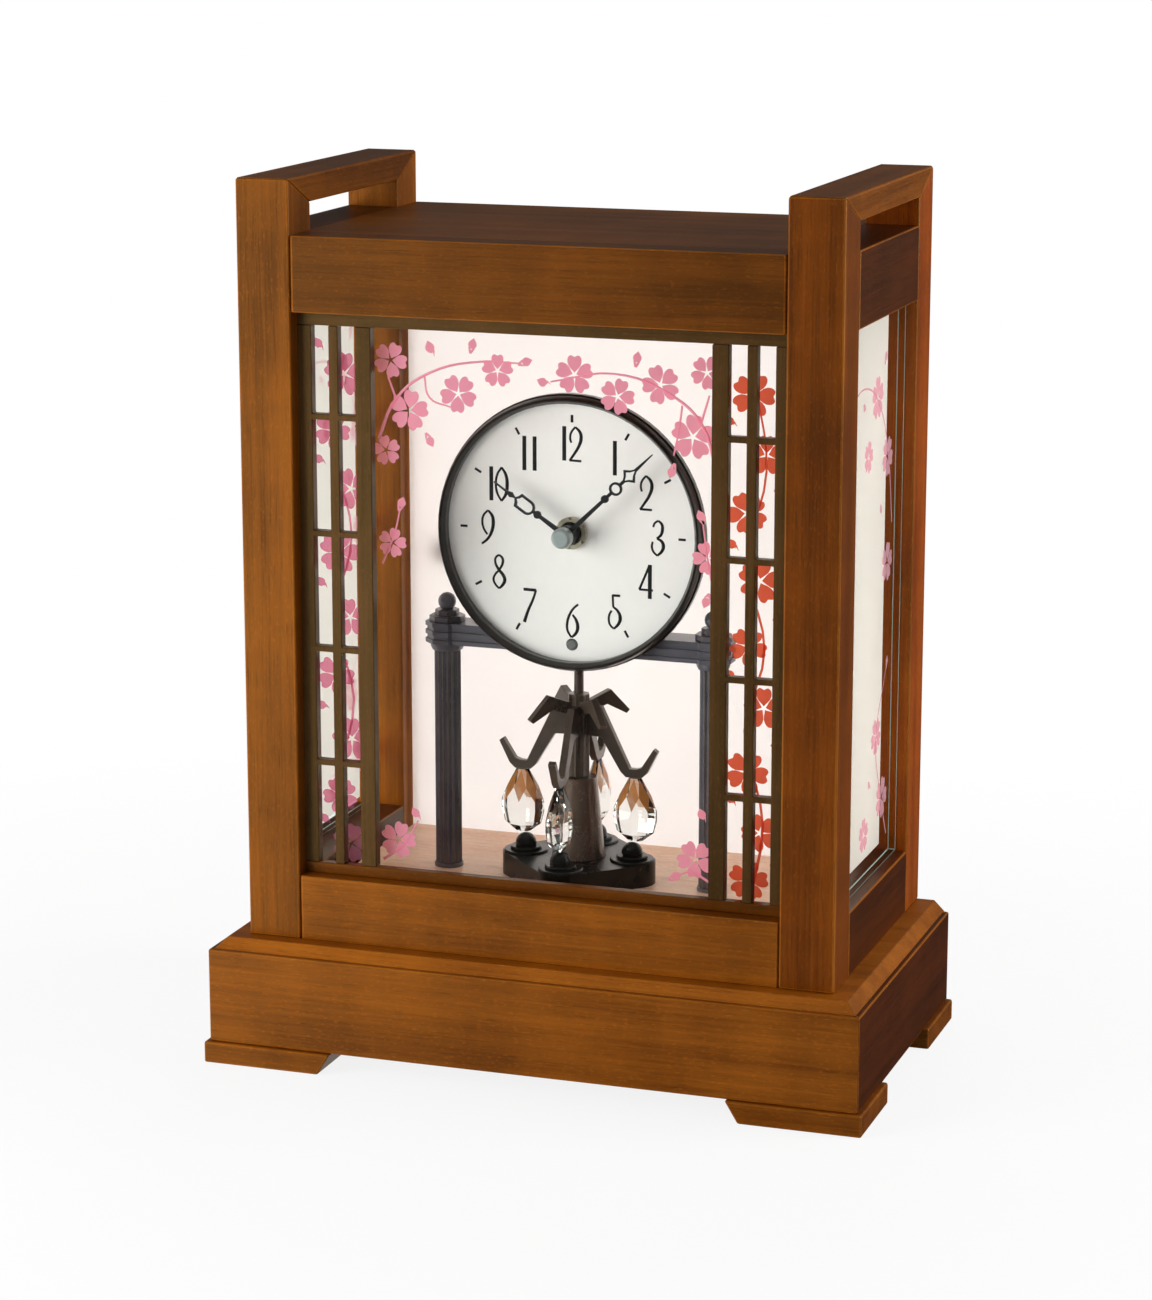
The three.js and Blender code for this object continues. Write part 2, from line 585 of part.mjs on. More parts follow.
function pivotClip(up) {
  const webOuter = up > 0 ? doorHighZ : doorLowZ;
  const webInner = webOuter - up * PIVOT_CLIP_WALL;
  const lip = webOuter - up * PIVOT_CLIP_DEPTH;
  const inFront = doorFrontY - SEAT_GAP;
  const behind = doorBackY + SEAT_GAP;
  const section = outline([
    [inFront - PIVOT_CLIP_WALL, webOuter], [behind + PIVOT_CLIP_WALL, webOuter],
    [behind + PIVOT_CLIP_WALL, lip], [behind, lip], [behind, webInner],
    [inFront, webInner], [inFront, lip], [inFront - PIVOT_CLIP_WALL, lip],
  ]);
  const clip = prismX(section, doorEdgeX - PIVOT_CLIP_LENGTH, doorEdgeX);
  const pinRoot = webOuter - (up * PIVOT_CLIP_WALL) / 2;
  const pinEnd = webOuter + up * (DOOR_END_GAP + PIVOT_PIN_ENGAGEMENT - RUN_GAP);
  const low = Math.min(pinRoot, pinEnd);
  const high = Math.max(pinRoot, pinEnd);
  const pinProfile = [[0, low], [PIVOT_PIN_RADIUS, low], [PIVOT_PIN_RADIUS, high], [0, high]];
  return join(clip, upright(pinProfile, PIN_SIDES, pivotX, pivotY));
}
place('door_pivot_top', pivotClip(1), steel);
place('door_pivot_bottom', pivotClip(-1), steel);

const doorStemY = doorBackY + DOOR_KNOB_STEM_LENGTH;
const doorKnobY = doorBackY + DOOR_KNOB_LENGTH;
const doorKnobProfile = [
  [0, doorBackY], [DOOR_KNOB_STEM_RADIUS, doorBackY], [DOOR_KNOB_STEM_RADIUS, doorStemY],
  [DOOR_KNOB_RADIUS, doorStemY + DOOR_KNOB_EASE], [DOOR_KNOB_RADIUS, doorKnobY - DOOR_KNOB_EASE],
  [DOOR_KNOB_RADIUS - DOOR_KNOB_EASE, doorKnobY], [0, doorKnobY],
];
const doorMiddleZ = (doorLowZ + doorHighZ) / 2;
const doorKnobX = DOOR_KNOB_INSET - doorEdgeX;
const doorKnob = alongDial(doorKnobProfile, SMALL_SIDES, doorKnobX, doorMiddleZ);
place('door_knob', geometryOf(solid(doorKnob)), brass);

// Columns: a fluted shaft between a stepped foot and a ring under the crossbar
function column(x) {
  const fluted = scalloped(COLUMN_RADIUS, FLUTE_DEPTH, FLUTES, SCALLOP_STEPS);
  const shaft = prismZ(fluted, FLOOR_Z, BAR_Z).translate(x, UNIT_Y, 0);
  const footTop = FLOOR_Z + COLUMN_FOOT_HEIGHT;
  const foot = upright([
    [0, FLOOR_Z], [COLUMN_FOOT_RADIUS, FLOOR_Z], [COLUMN_FOOT_RADIUS, footTop - COLUMN_FOOT_EASE],
    [COLUMN_FOOT_RADIUS - COLUMN_FOOT_EASE, footTop], [0, footTop],
  ], SMALL_SIDES, x, UNIT_Y);
  const ringLow = BAR_Z - CAPITAL_HEIGHT;
  const bulge = BAR_Z - CAPITAL_HEIGHT / 2;
  const capital = upright([
    [0, ringLow], [(CAPITAL_RADIUS + COLUMN_RADIUS) / 2, ringLow], [CAPITAL_RADIUS, bulge],
    [CAPITAL_RADIUS, BAR_Z], [0, BAR_Z],
  ], SMALL_SIDES, x, UNIT_Y);
  return join(shaft, foot, capital);
}

// An eight-sided block with a flat side to the front, from (radius, height) points
function octagon(profile, x) {
  return upright(profile, 8, 0, 0).rotateZ(Math.PI / 8).translate(x, UNIT_Y, 0);
}

function finial(x) {
  const lowTop = BAR_TOP_Z + FINIAL_STEP;
  const highTop = lowTop + FINIAL_STEP;
  const steps = octagon([
    [0, BAR_TOP_Z], [FINIAL_LOW_RADIUS, BAR_TOP_Z], [FINIAL_LOW_RADIUS, lowTop],
    [FINIAL_HIGH_RADIUS, lowTop], [FINIAL_HIGH_RADIUS, highTop], [0, highTop],
  ], x);
  const ball = new THREE.SphereGeometry(FINIAL_BALL_RADIUS, SMALL_SIDES, FINIAL_BALL_RINGS);
  ball.rotateX(Math.PI / 2).translate(x, UNIT_Y, highTop + FINIAL_BALL_RADIUS - FINIAL_BALL_SINK);
  return join(steps, ball);
}

for (const [sideName, side] of SIDES) {
  const x = (side * COLUMN_SPACING) / 2;
  place(`column_${sideName}`, column(x), bronze);
  place(`finial_${sideName}`, finial(x), bronze);
}

// Crossbar: grooved front and back, with eight-sided ends and a bearing hole for the pendulum's rod
function crossbar() {
  const half = BAR_DEPTH / 2;
  const bands = 2 * BAR_RIBS - 1;
  const band = BAR_HEIGHT / bands;
  const ribs = [];
  for (let i = 0; i < bands; i += 1) {
    const depth = i % 2 === 0 ? 0 : BAR_GROOVE;
    ribs.push([depth, BAR_Z + i * band], [depth, BAR_Z + (i + 1) * band]);
  }
  const back = ribs.map(([depth, z]) => [UNIT_Y + half - depth, z]);
  const front = ribs.map(([depth, z]) => [UNIT_Y - half + depth, z]);
  const section = outline([...back, ...front.reverse()]);
  const endX = COLUMN_SPACING / 2;
  const endFace = ribs.map(([depth, z]) => [BAR_END_RADIUS - depth, z]);
  const endProfile = [[0, BAR_Z], ...endFace, [0, BAR_TOP_Z]];
  const ends = [-endX, endX].map((x) => octagon(endProfile, x));
  const holeRadius = ROD_RADIUS + RUN_GAP;
  const holeLow = BAR_Z - CUT_PAST;
  const holeTop = BAR_Z + ROD_ENGAGEMENT + RUN_GAP;
  const holeProfile = [[0, holeLow], [holeRadius, holeLow], [holeRadius, holeTop], [0, holeTop]];
  const hole = upright(holeProfile, ROD_SIDES, 0, UNIT_Y);
  return cut(join(prismX(section, -endX, endX), ...ends), hole);
}
place('crossbar', crossbar(), bronze);

// Dial: a plate in a deep two-step bezel
const bezelOuter = DIAL_RADIUS + SEAT_GAP + BEZEL_RIM;
const bezelInner = bezelOuter - BEZEL_WIDTH;
const bezelFrontY = DIAL_Y - BEZEL_PROUD;
const rebate = DIAL_RADIUS + SEAT_GAP;
const crownOuter = bezelInner + BEZEL_LIP + BEZEL_CROWN;
const shoulderOuter = bezelOuter - BEZEL_STEP;
const bezelProfile = [
  [rebate, DIAL_BACK_Y], [rebate, DIAL_Y - SEAT_GAP], [bezelInner, DIAL_Y - SEAT_GAP],
  [bezelInner, bezelFrontY + BEZEL_LIP_DEPTH], [bezelInner + BEZEL_LIP, bezelFrontY],
  [crownOuter, bezelFrontY], [shoulderOuter, bezelFrontY + BEZEL_SHOULDER_DEPTH],
  [shoulderOuter, bezelFrontY + BEZEL_STEP_DEPTH], [bezelOuter, bezelFrontY + BEZEL_STEP_DEPTH],
  [bezelOuter, DIAL_BACK_Y], [rebate, DIAL_BACK_Y],
];
place('dial_bezel', geometryOf(solid(alongDial(bezelProfile, BEZEL_SIDES))), bronze);

const sensorZ = DIAL_Z - SENSOR_DROP;
const dialDisc = disc(DIAL_RADIUS, DIAL_Y, DIAL_BACK_Y, BEZEL_SIDES);
const throughDial = [DIAL_Y - CUT_PAST, DIAL_BACK_Y + CUT_PAST];
const bushHole = disc(BUSH_RADIUS + SEAT_GAP, ...throughDial, ROUND_SIDES);
const sensorHole = disc(SENSOR_RADIUS + SEAT_GAP, ...throughDial, SMALL_SIDES, 0, sensorZ);
place('dial_plate', cut(dialDisc, bushHole, sensorHole), dialWhite);

const sensorFrontY = DIAL_Y - SENSOR_PROUD;
const sensor = alongDial([
  [0, sensorFrontY], [SENSOR_RADIUS - SENSOR_PROUD, sensorFrontY], [SENSOR_RADIUS, DIAL_Y],
  [SENSOR_RADIUS, DIAL_BACK_Y], [0, DIAL_BACK_Y],
], SMALL_SIDES, 0, sensorZ);
place('light_sensor', geometryOf(solid(sensor)), greyPlastic);

// Movement: a moulded case on the crossbar, with a bush through the dial and controls at the back
const batteryBay = { radius: BATTERY_RADIUS + SEAT_GAP, length: BATTERY_LENGTH + 2 * SEAT_GAP };
const batteryZ = BAR_TOP_Z + MOVEMENT_WALL + batteryBay.radius;
const batteryY = MOVEMENT_BACK_Y - batteryBay.radius;
const controlZ = DIAL_Z + CONTROL_RISE;
const bushFrontY = DIAL_Y - BUSH_LENGTH;

function movementCase() {
  const body = box(
    [-MOVEMENT_WIDTH / 2, DIAL_BACK_Y, BAR_TOP_Z],
    [MOVEMENT_WIDTH / 2, MOVEMENT_BACK_Y, BAR_TOP_Z + MOVEMENT_HEIGHT],
  );
  const pastBackY = MOVEMENT_BACK_Y + CUT_PAST;
  const bush = disc(BUSH_RADIUS, bushFrontY, DIAL_BACK_Y + JOIN_DEPTH, ROUND_SIDES);
  const bore = disc(BUSH_BORE, bushFrontY - CUT_PAST, pastBackY, ROUND_SIDES);
  const bay = box(
    [-batteryBay.length / 2, batteryY - batteryBay.radius, batteryZ - batteryBay.radius],
    [batteryBay.length / 2, pastBackY, batteryZ + batteryBay.radius],
  );
  const wellY = MOVEMENT_BACK_Y - BUTTON_DEPTH - BUTTON_TRAVEL - RUN_GAP;
  const wellRadius = BUTTON_RADIUS + RUN_GAP;
  const well = disc(wellRadius, wellY, pastBackY, SMALL_SIDES, -CONTROL_SPREAD, controlZ);
  return cut(join(body, bush), bore, bay, well);
}
place('movement_case', movementCase(), blackPlastic);

const batteryShoulder = BATTERY_LENGTH - BATTERY_NIB_LENGTH;
const battery = upright([
  [0, 0], [BATTERY_RADIUS, 0], [BATTERY_RADIUS, batteryShoulder], [BATTERY_NIB_RADIUS, batteryShoulder],
  [BATTERY_NIB_RADIUS, BATTERY_LENGTH], [0, BATTERY_LENGTH],
], SMALL_SIDES, 0, 0).rotateY(Math.PI / 2).translate(-BATTERY_LENGTH / 2, batteryY, batteryZ);
place('battery', geometryOf(solid(battery)), greyPlastic);

// Controls at the back: a knob that sets the hands, a volume knob and a button
const knobFrontY = MOVEMENT_BACK_Y + RUN_GAP;

function lobedKnob(radius, x, z) {
  const shape = scalloped(radius, KNOB_LOBE_DEPTH, KNOB_LOBES, SCALLOP_STEPS);
  return prismY(shape, knobFrontY, knobFrontY + KNOB_THICKNESS).translate(x, 0, z);
}
place('set_knob', lobedKnob(KNOB_RADIUS, 0, DIAL_Z), blackPlastic);
place('volume_knob', lobedKnob(VOLUME_RADIUS, CONTROL_SPREAD, controlZ), greyPlastic);
const buttonFrom = MOVEMENT_BACK_Y - BUTTON_DEPTH;
const buttonTo = MOVEMENT_BACK_Y + BUTTON_PROUD;
const button = disc(BUTTON_RADIUS, buttonFrom, buttonTo, SMALL_SIDES, -CONTROL_SPREAD, controlZ);
place('demo_button', geometryOf(solid(button)), greyPlastic);

// Centre nut: a notched ring that clamps the dial to the movement
function centreNut() {
  const bore = BUSH_RADIUS + SEAT_GAP;
  const frontY = DIAL_Y - NUT_THICKNESS;
  const ring = alongDial([
    [bore, frontY], [NUT_RADIUS, frontY], [NUT_RADIUS, DIAL_Y], [bore, DIAL_Y], [bore, frontY],
  ], ROUND_SIDES);
  const notches = [];
  for (let i = 0; i < NUT_NOTCHES; i += 1) {
    const notch = box(
      [-NUT_NOTCH_WIDTH / 2, frontY - CUT_PAST, (bore + NUT_RADIUS) / 2],
      [NUT_NOTCH_WIDTH / 2, frontY + NUT_THICKNESS / 2, NUT_RADIUS + CUT_PAST],
    );
    notches.push(notch.rotateY((2 * Math.PI * i) / NUT_NOTCHES).translate(0, 0, DIAL_Z));
  }
  return cut(ring, ...notches);
}
place('centre_nut', centreNut(), brass);

// Hands: openwork plates drawn pointing to twelve, then turned to the time shown
function circle(radius, along) {
  const points = [];
  for (let i = 0; i < SMALL_SIDES; i += 1) {
    const angle = (2 * Math.PI * i) / SMALL_SIDES;
    points.push([radius * Math.cos(angle), along + radius * Math.sin(angle)]);
  }
  return outline(points);
}

function pierced(shape, hole) {
  shape.holes.push(new THREE.Path(hole.getPoints()));
  return shape;
}

// A kite whose sides bow in towards its middle
function kite(near, wide, far, halfWidth) {
  const dip = (KITE_BOW * halfWidth) / 2;
  const nearDip = wide - (KITE_BOW * (wide - near)) / 2;
  const farDip = wide + (KITE_BOW * (far - wide)) / 2;
  return outline([
    [0, near], [dip, nearDip], [halfWidth, wide], [dip, farDip],
    [0, far], [-dip, farDip], [-halfWidth, wide], [-dip, nearDip],
  ]);
}

function bar(near, far, nearHalf, farHalf) {
  return outline([[-nearHalf, near], [nearHalf, near], [farHalf, far], [-farHalf, far]]);
}

// A shield with a round near end, straight sides and two horns beside its far end
function shield(near, horns, far, halfWidth) {
  const points = [];
  for (let i = 0; i <= SMALL_SIDES / 2; i += 1) {
    const angle = Math.PI + (2 * Math.PI * i) / SMALL_SIDES;
    points.push([halfWidth * Math.cos(angle), near + halfWidth + halfWidth * Math.sin(angle)]);
  }
  const half = halfWidth / 2;
  const dip = horns + (far - horns) / 3;
  points.push([halfWidth, horns], [half, dip], [0, far], [-half, dip], [-halfWidth, horns]);
  return outline(points);
}

function handPlate(shapes, backY, bossHole, turn) {
  const frontY = backY - HAND_THICKNESS;
  const plates = shapes.map((shape) => prismY(shape, frontY, backY));
  const hole = disc(bossHole, frontY - CUT_PAST, backY + CUT_PAST, SMALL_SIDES, 0, 0);
  return cut(join(...plates), hole).rotateY(turn).translate(0, 0, DIAL_Z);
}

const hourTurn = (2 * Math.PI * (HOURS_SHOWN + MINUTES_SHOWN / 60)) / 12;
const minuteTurn = (2 * Math.PI * MINUTES_SHOWN) / 60;

const hourShapes = [
  circle(HAND_BOSS_RADIUS, 0),
  bar(0, HOUR_BALL_AT, HAND_BAR_ROOT, HAND_BAR_TIP),
  circle(HAND_BALL_RADIUS, HOUR_BALL_AT),
  bar(HOUR_BALL_AT, HOUR_SHIELD_FROM + HAND_RIM, HAND_BAR_TIP, HAND_BAR_TIP),
  pierced(
    shield(HOUR_SHIELD_FROM, HOUR_SHIELD_HORNS, HOUR_SHIELD_TO, HOUR_SHIELD_HALF),
    shield(HOUR_SHIELD_FROM + HAND_RIM, HOUR_SHIELD_HORNS - HAND_RIM, HOUR_SHIELD_TO - HAND_RIM,
      HOUR_SHIELD_HALF - HAND_RIM),
  ),
  kite(HOUR_SHIELD_TO - HAND_RIM, HOUR_LEAF_WIDE, HOUR_LEAF_TO, HOUR_LEAF_HALF),
  bar(HOUR_LEAF_WIDE, HOUR_HAND_LENGTH, HOUR_NEEDLE_HALF, HAND_TIP_HALF),
];
const hourPlate = handPlate(hourShapes, HOUR_HAND_Y, PIPE_BORE, hourTurn);
const pipeFrontY = HOUR_HAND_Y - HAND_THICKNESS;
const colletBackY = bushFrontY - RUN_GAP;
const pipeBackY = DIAL_BACK_Y + MOVEMENT_WALL;
const pipe = alongDial([
  [PIPE_BORE, pipeFrontY], [COLLET_RADIUS, pipeFrontY], [COLLET_RADIUS, colletBackY],
  [PIPE_RADIUS, colletBackY], [PIPE_RADIUS, pipeBackY],
  [PIPE_BORE, pipeBackY], [PIPE_BORE, pipeFrontY],
], SMALL_SIDES);
place('hour_hand', join(hourPlate, pipe), handBlack);

const ringFrom = MINUTE_RING_AT - MINUTE_RING_RADIUS;
const ringTo = MINUTE_RING_AT + MINUTE_RING_RADIUS;
const minuteShapes = [
  circle(HAND_BOSS_RADIUS, 0),
  bar(0, MINUTE_BALL_AT, HAND_BAR_ROOT, HAND_BAR_TIP),
  circle(HAND_BALL_RADIUS, MINUTE_BALL_AT),
  bar(MINUTE_BALL_AT, ringFrom + HAND_RIM / 2, HAND_BAR_TIP, HAND_BAR_TIP),
  pierced(
    circle(MINUTE_RING_RADIUS, MINUTE_RING_AT),
    circle(MINUTE_RING_RADIUS - HAND_RIM, MINUTE_RING_AT),
  ),
  bar(ringTo - HAND_RIM / 2, MINUTE_KITE_FROM + HAND_RIM, HAND_BAR_TIP, HAND_BAR_TIP),
  pierced(
    kite(MINUTE_KITE_FROM, MINUTE_KITE_WIDE, MINUTE_KITE_TO, MINUTE_KITE_HALF),
    kite(MINUTE_KITE_FROM + KITE_RIM, MINUTE_KITE_WIDE, MINUTE_KITE_TO - KITE_RIM,
      MINUTE_KITE_HALF - KITE_RIM),
  ),
  bar(MINUTE_KITE_TO - HAND_RIM, MINUTE_HAND_LENGTH, MINUTE_TIP_ROOT, HAND_TIP_HALF),
];
const minuteHole = ARBOR_RADIUS + SEAT_GAP;
place('minute_hand', handPlate(minuteShapes, MINUTE_HAND_Y, minuteHole, minuteTurn), handBlack);

const arbor = disc(ARBOR_RADIUS, HANDS_FRONT_Y, knobFrontY, SMALL_SIDES);
place('minute_arbor', geometryOf(solid(arbor)), steel);
const capFrontY = HANDS_FRONT_Y - CAP_LENGTH;
const cap = alongDial([
  [0, capFrontY], [CAP_RADIUS - CAP_EASE, capFrontY], [CAP_RADIUS, capFrontY + CAP_EASE],
  [CAP_RADIUS, HANDS_FRONT_Y], [0, HANDS_FRONT_Y],
], ROUND_SIDES);
place('hand_cap', geometryOf(solid(cap)), steel);

// Pendulum base: a four-cornered moulding with a stepped boss on each corner
const QUARTERS = [['right', 0], ['rear', 1], ['left', 2], ['front', 3]];

function pendulumBase() {
  const shape = new THREE.Shape();
  for (const [, quarter] of QUARTERS) {
    const angle = (quarter * Math.PI) / 2;
    shape.absarc(PAD_ORBIT * Math.cos(angle), PAD_ORBIT * Math.sin(angle), PAD_RADIUS,
      angle - Math.PI / 4, angle + Math.PI / 4);
  }
  const body = prismZ(shape, FLOOR_Z, BASE_TOP_Z, 8).translate(0, UNIT_Y, 0);
  const padTop = BASE_TOP_Z + PAD_HEIGHT;
  const stepTop = padTop + BOSS_STEP_HEIGHT;
  const padLow = BASE_TOP_Z - JOIN_DEPTH;
  const padOuter = PAD_RADIUS - PAD_EASE;
  const profile = [
    [0, padLow], [padOuter, padLow], [padOuter, padTop - PAD_EASE], [padOuter - PAD_EASE, padTop],
    [BOSS_STEP_RADIUS, padTop], [BOSS_STEP_RADIUS, stepTop - PAD_EASE],
    [BOSS_STEP_RADIUS - PAD_EASE, stepTop],
  ];
  const lowest = -Math.asin(BOSS_RISE / BOSS_RADIUS);
  for (let i = 0; i < BOSS_ROUNDS; i += 1) {
    const rise = lowest + (i / BOSS_ROUNDS) * (Math.PI / 2 - lowest);
    const ballZ = stepTop + BOSS_RISE + BOSS_RADIUS * Math.sin(rise);
    profile.push([BOSS_RADIUS * Math.cos(rise), ballZ]);
  }
  profile.push([0, BOSS_TOP_Z]);
  const bosses = QUARTERS.map(([, quarter]) => {
    const angle = (quarter * Math.PI) / 2;
    const [x, y] = [PAD_ORBIT * Math.cos(angle), UNIT_Y + PAD_ORBIT * Math.sin(angle)];
    return upright(profile, SMALL_SIDES, x, y);
  });
  return join(body, ...bosses);
}
place('pendulum_base', pendulumBase(), blackPlastic);

const cone = upright([
  [0, BASE_TOP_Z], [CONE_FOOT_RADIUS, BASE_TOP_Z], [CONE_SKIRT_RADIUS, BASE_TOP_Z + CONE_FOOT_HEIGHT],
  [CONE_TOP_RADIUS, CONE_TOP_Z], [0, CONE_TOP_Z],
], ROUND_SIDES, 0, UNIT_Y);
place('pendulum_cone', geometryOf(solid(cone)), bronze);

// Pendulum: rod, ribbed hub, four hooked arms and, between them, four wings
function blade(edges, quarter) {
  const points = edges.map(([out, up]) => [out, ARM_FOOT_Z + up]);
  const plate = prismY(outline(points), -ARM_THICKNESS / 2, ARM_THICKNESS / 2);
  return plate.rotateZ((quarter * Math.PI) / 2).translate(0, UNIT_Y, 0);
}

function spider() {
  const ribbed = scalloped(HUB_RADIUS, HUB_RIB_DEPTH, HUB_RIBS, SCALLOP_STEPS);
  const hub = prismZ(ribbed, HUB_Z, HUB_TOP_Z).translate(0, UNIT_Y, 0);
  const rodLow = HUB_Z + JOIN_DEPTH;
  const rodTop = BAR_Z + ROD_ENGAGEMENT;
  const rodProfile = [[0, rodLow], [ROD_RADIUS, rodLow], [ROD_RADIUS, rodTop], [0, rodTop]];
  const rod = upright(rodProfile, ROD_SIDES, 0, UNIT_Y);
  const blades = QUARTERS.flatMap(([, quarter]) => [
    blade([...ARM_UNDERSIDE, ...ARM_HOOK, ...ARM_OUTSIDE], quarter),
    blade([...WING_UNDERSIDE, ...WING_OUTSIDE], quarter + 1 / 2),
  ]);
  return join(hub, rod, ...blades);
}
place('pendulum_spider', spider(), bronze);

// Crystals: flattened drops cut in facets between rings of corners. Each ring has its share of the
// half width, its share of the height, and its turn as a share of one side.
const FACET_RINGS = [
  [0.34, 0, 0], [0.86, 0.14, 0], [1, 0.34, 0], [1, 0.5, 0], [0.75, 0.72, 0.5], [0.3, 1, 0],
];

function drop() {
  const corners = [];
  for (const [out, up, turn] of FACET_RINGS) {
    for (let i = 0; i < CRYSTAL_SIDES; i += 1) {
      const angle = (2 * Math.PI * (i + turn)) / CRYSTAL_SIDES;
      const x = ((out * CRYSTAL_RADIAL) / 2) * Math.cos(angle);
      const y = ((out * CRYSTAL_TANGENTIAL) / 2) * Math.sin(angle);
      corners.push(new THREE.Vector3(x, y, up * CRYSTAL_HEIGHT));
    }
  }
  return geometryOf(solid(new ConvexGeometry(corners)));
}
for (const [name, quarter] of QUARTERS) {
  const foot = ARM_FOOT_Z - SEAT_GAP - CRYSTAL_HEIGHT;
  const hung = drop().translate(ARM_REACH, 0, foot).rotateZ((quarter * Math.PI) / 2);
  place(`crystal_${name}`, hung.translate(0, UNIT_Y, 0), crystal);
}

export default clock;
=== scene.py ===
# A table clock in a glazed wooden case: lattice front, dial on two columns, crystal pendulum.
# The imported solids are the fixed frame; this script gives them their finishes, eased edges and prints.

import json
import math

import bpy
from mathutils import Matrix, Vector

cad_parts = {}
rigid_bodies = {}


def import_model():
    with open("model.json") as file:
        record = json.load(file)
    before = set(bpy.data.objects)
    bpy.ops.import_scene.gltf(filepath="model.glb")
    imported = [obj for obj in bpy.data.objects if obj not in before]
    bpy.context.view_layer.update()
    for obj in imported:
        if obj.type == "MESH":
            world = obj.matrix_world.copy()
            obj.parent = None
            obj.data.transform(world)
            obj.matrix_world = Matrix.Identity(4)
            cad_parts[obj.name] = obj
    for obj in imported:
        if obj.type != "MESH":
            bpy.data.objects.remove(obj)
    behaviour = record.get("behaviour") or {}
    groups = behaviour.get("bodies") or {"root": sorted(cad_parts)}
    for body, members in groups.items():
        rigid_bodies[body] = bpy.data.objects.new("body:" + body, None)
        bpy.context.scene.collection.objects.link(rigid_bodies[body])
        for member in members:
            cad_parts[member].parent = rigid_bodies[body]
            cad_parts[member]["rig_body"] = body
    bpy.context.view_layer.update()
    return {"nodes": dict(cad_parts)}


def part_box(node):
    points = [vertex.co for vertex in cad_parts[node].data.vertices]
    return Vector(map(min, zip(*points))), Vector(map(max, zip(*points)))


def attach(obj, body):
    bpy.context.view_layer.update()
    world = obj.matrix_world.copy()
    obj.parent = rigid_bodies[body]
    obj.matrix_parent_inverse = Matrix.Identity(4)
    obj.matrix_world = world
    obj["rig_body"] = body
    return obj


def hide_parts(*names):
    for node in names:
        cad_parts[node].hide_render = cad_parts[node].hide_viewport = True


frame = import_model()
bpy.ops.object.select_all(action="DESELECT")
bpy.context.scene.view_settings.view_transform = "Standard"

# Studio: a wide pale table top in a white room. Soft lamps stand close at the front left, further off
# at the right, and behind the opal back door. The camera looks from the front right and above.
MM = 0.001


def srgb(red, green, blue):
    """A colour as a screen shows it, 0 to 255, turned into the linear colour that shaders take."""
    channels = [channel / 255 for channel in (red, green, blue)]
    linear = [c / 12.92 if c < 0.04045 else ((c + 0.055) / 1.055) ** 2.4 for c in channels]
    return (*linear, 1.0)


class Value:
    """A shader socket; arithmetic on it adds Math nodes to its tree."""

    def __init__(self, tree, socket):
        self.tree = tree
        self.socket = socket

    def math(self, operation, first, second):
        return self.tree.node("ShaderNodeMath", {"operation": operation}, {0: first, 1: second})

    def __add__(self, other):
        return self.math("ADD", self, other)

    def __sub__(self, other):
        return self.math("SUBTRACT", self, other)

    def __rsub__(self, other):
        return self.math("SUBTRACT", other, self)

    def __mul__(self, other):
        return self.math("MULTIPLY", self, other)

    __radd__ = __add__
    __rmul__ = __mul__

    def either(self, other):
        return self.math("MAXIMUM", self, other)


class Tree:
    """A node tree that is being written, one node at a time."""

    def __init__(self, node_tree):
        self.nodes = node_tree.nodes
        self.links = node_tree.links
        self.nodes.clear()

    def node(self, kind, settings, inputs, output=0):
        """Adds a node, sets it, fills its inputs with values or links, and gives back one output."""
        made = self.nodes.new(kind)
        for name, setting in settings.items():
            setattr(made, name, setting)
        for name, value in inputs.items():
            if isinstance(value, Value):
                self.links.new(value.socket, made.inputs[name])
            else:
                made.inputs[name].default_value = value
        return Value(self, made.outputs[output]) if made.outputs else None

    def ray(self, kind):
        return self.node("ShaderNodeLightPath", {}, {}, kind)

    def mix(self, share, first, second):
        """A colour between two."""
        return self.node("ShaderNodeMix", {"data_type": "RGBA"}, {0: share, 6: first, 7: second}, 2)

    def place(self, axis):
        """How far along X, Y or Z a point of the object lies, in metres."""
        spot = self.node("ShaderNodeTexCoord", {}, {}, "Object")
        return self.node("ShaderNodeSeparateXYZ", {}, {"Vector": spot}, axis)

    def noise(self, stretch, detail):
        """Soft noise with so many spots to the metre along X, Y and Z."""
        spot = self.node("ShaderNodeTexCoord", {}, {}, "Object")
        spot = self.node("ShaderNodeMapping", {}, {"Vector": spot, "Scale": stretch})
        return self.node("ShaderNodeTexNoise", {}, {"Vector": spot, "Scale": 1.0, "Detail": detail})

    def even_noise(self, spots, detail):
        """Soft noise with the same number of spots to the metre every way."""
        return self.noise((spots, spots, spots), detail)

    def bump(self, height, depth):
        return self.node("ShaderNodeBump", {}, {"Height": height, "Distance": depth}, "Normal")

    def between(self, value, low, high):
        """0 below low, 1 above high, with an even slope between them."""
        reach = {"Value": value, "From Min": low, "From Max": high}
        return self.node("ShaderNodeMapRange", {"clamp": True}, reach)

    def principled(self, inputs):
        return self.node("ShaderNodeBsdfPrincipled", {}, inputs)

    def surface(self, shader):
        self.node("ShaderNodeOutputMaterial", {}, {"Surface": shader})


def new_finish(name):
    material = bpy.data.materials.new(name)
    material.use_nodes = True
    return material, Tree(material.node_tree)


CAMERA_AT = (0.4278, -1.2613, 0.4544)
CAMERA_TURN = math.radians(18.879)
CAMERA_DIP = math.radians(12.76)
CAMERA_LENS = 101.46  # millimetres
CAMERA_SENSOR = 36  # millimetres along the picture's long side
bpy.ops.object.camera_add(location=CAMERA_AT, rotation=(math.pi / 2 - CAMERA_DIP, 0, CAMERA_TURN))
camera = bpy.context.object
camera.data.lens = CAMERA_LENS
camera.data.sensor_width = CAMERA_SENSOR
bpy.context.scene.camera = camera

CLOCK_MIDDLE = Vector((0, 0, 0.17))


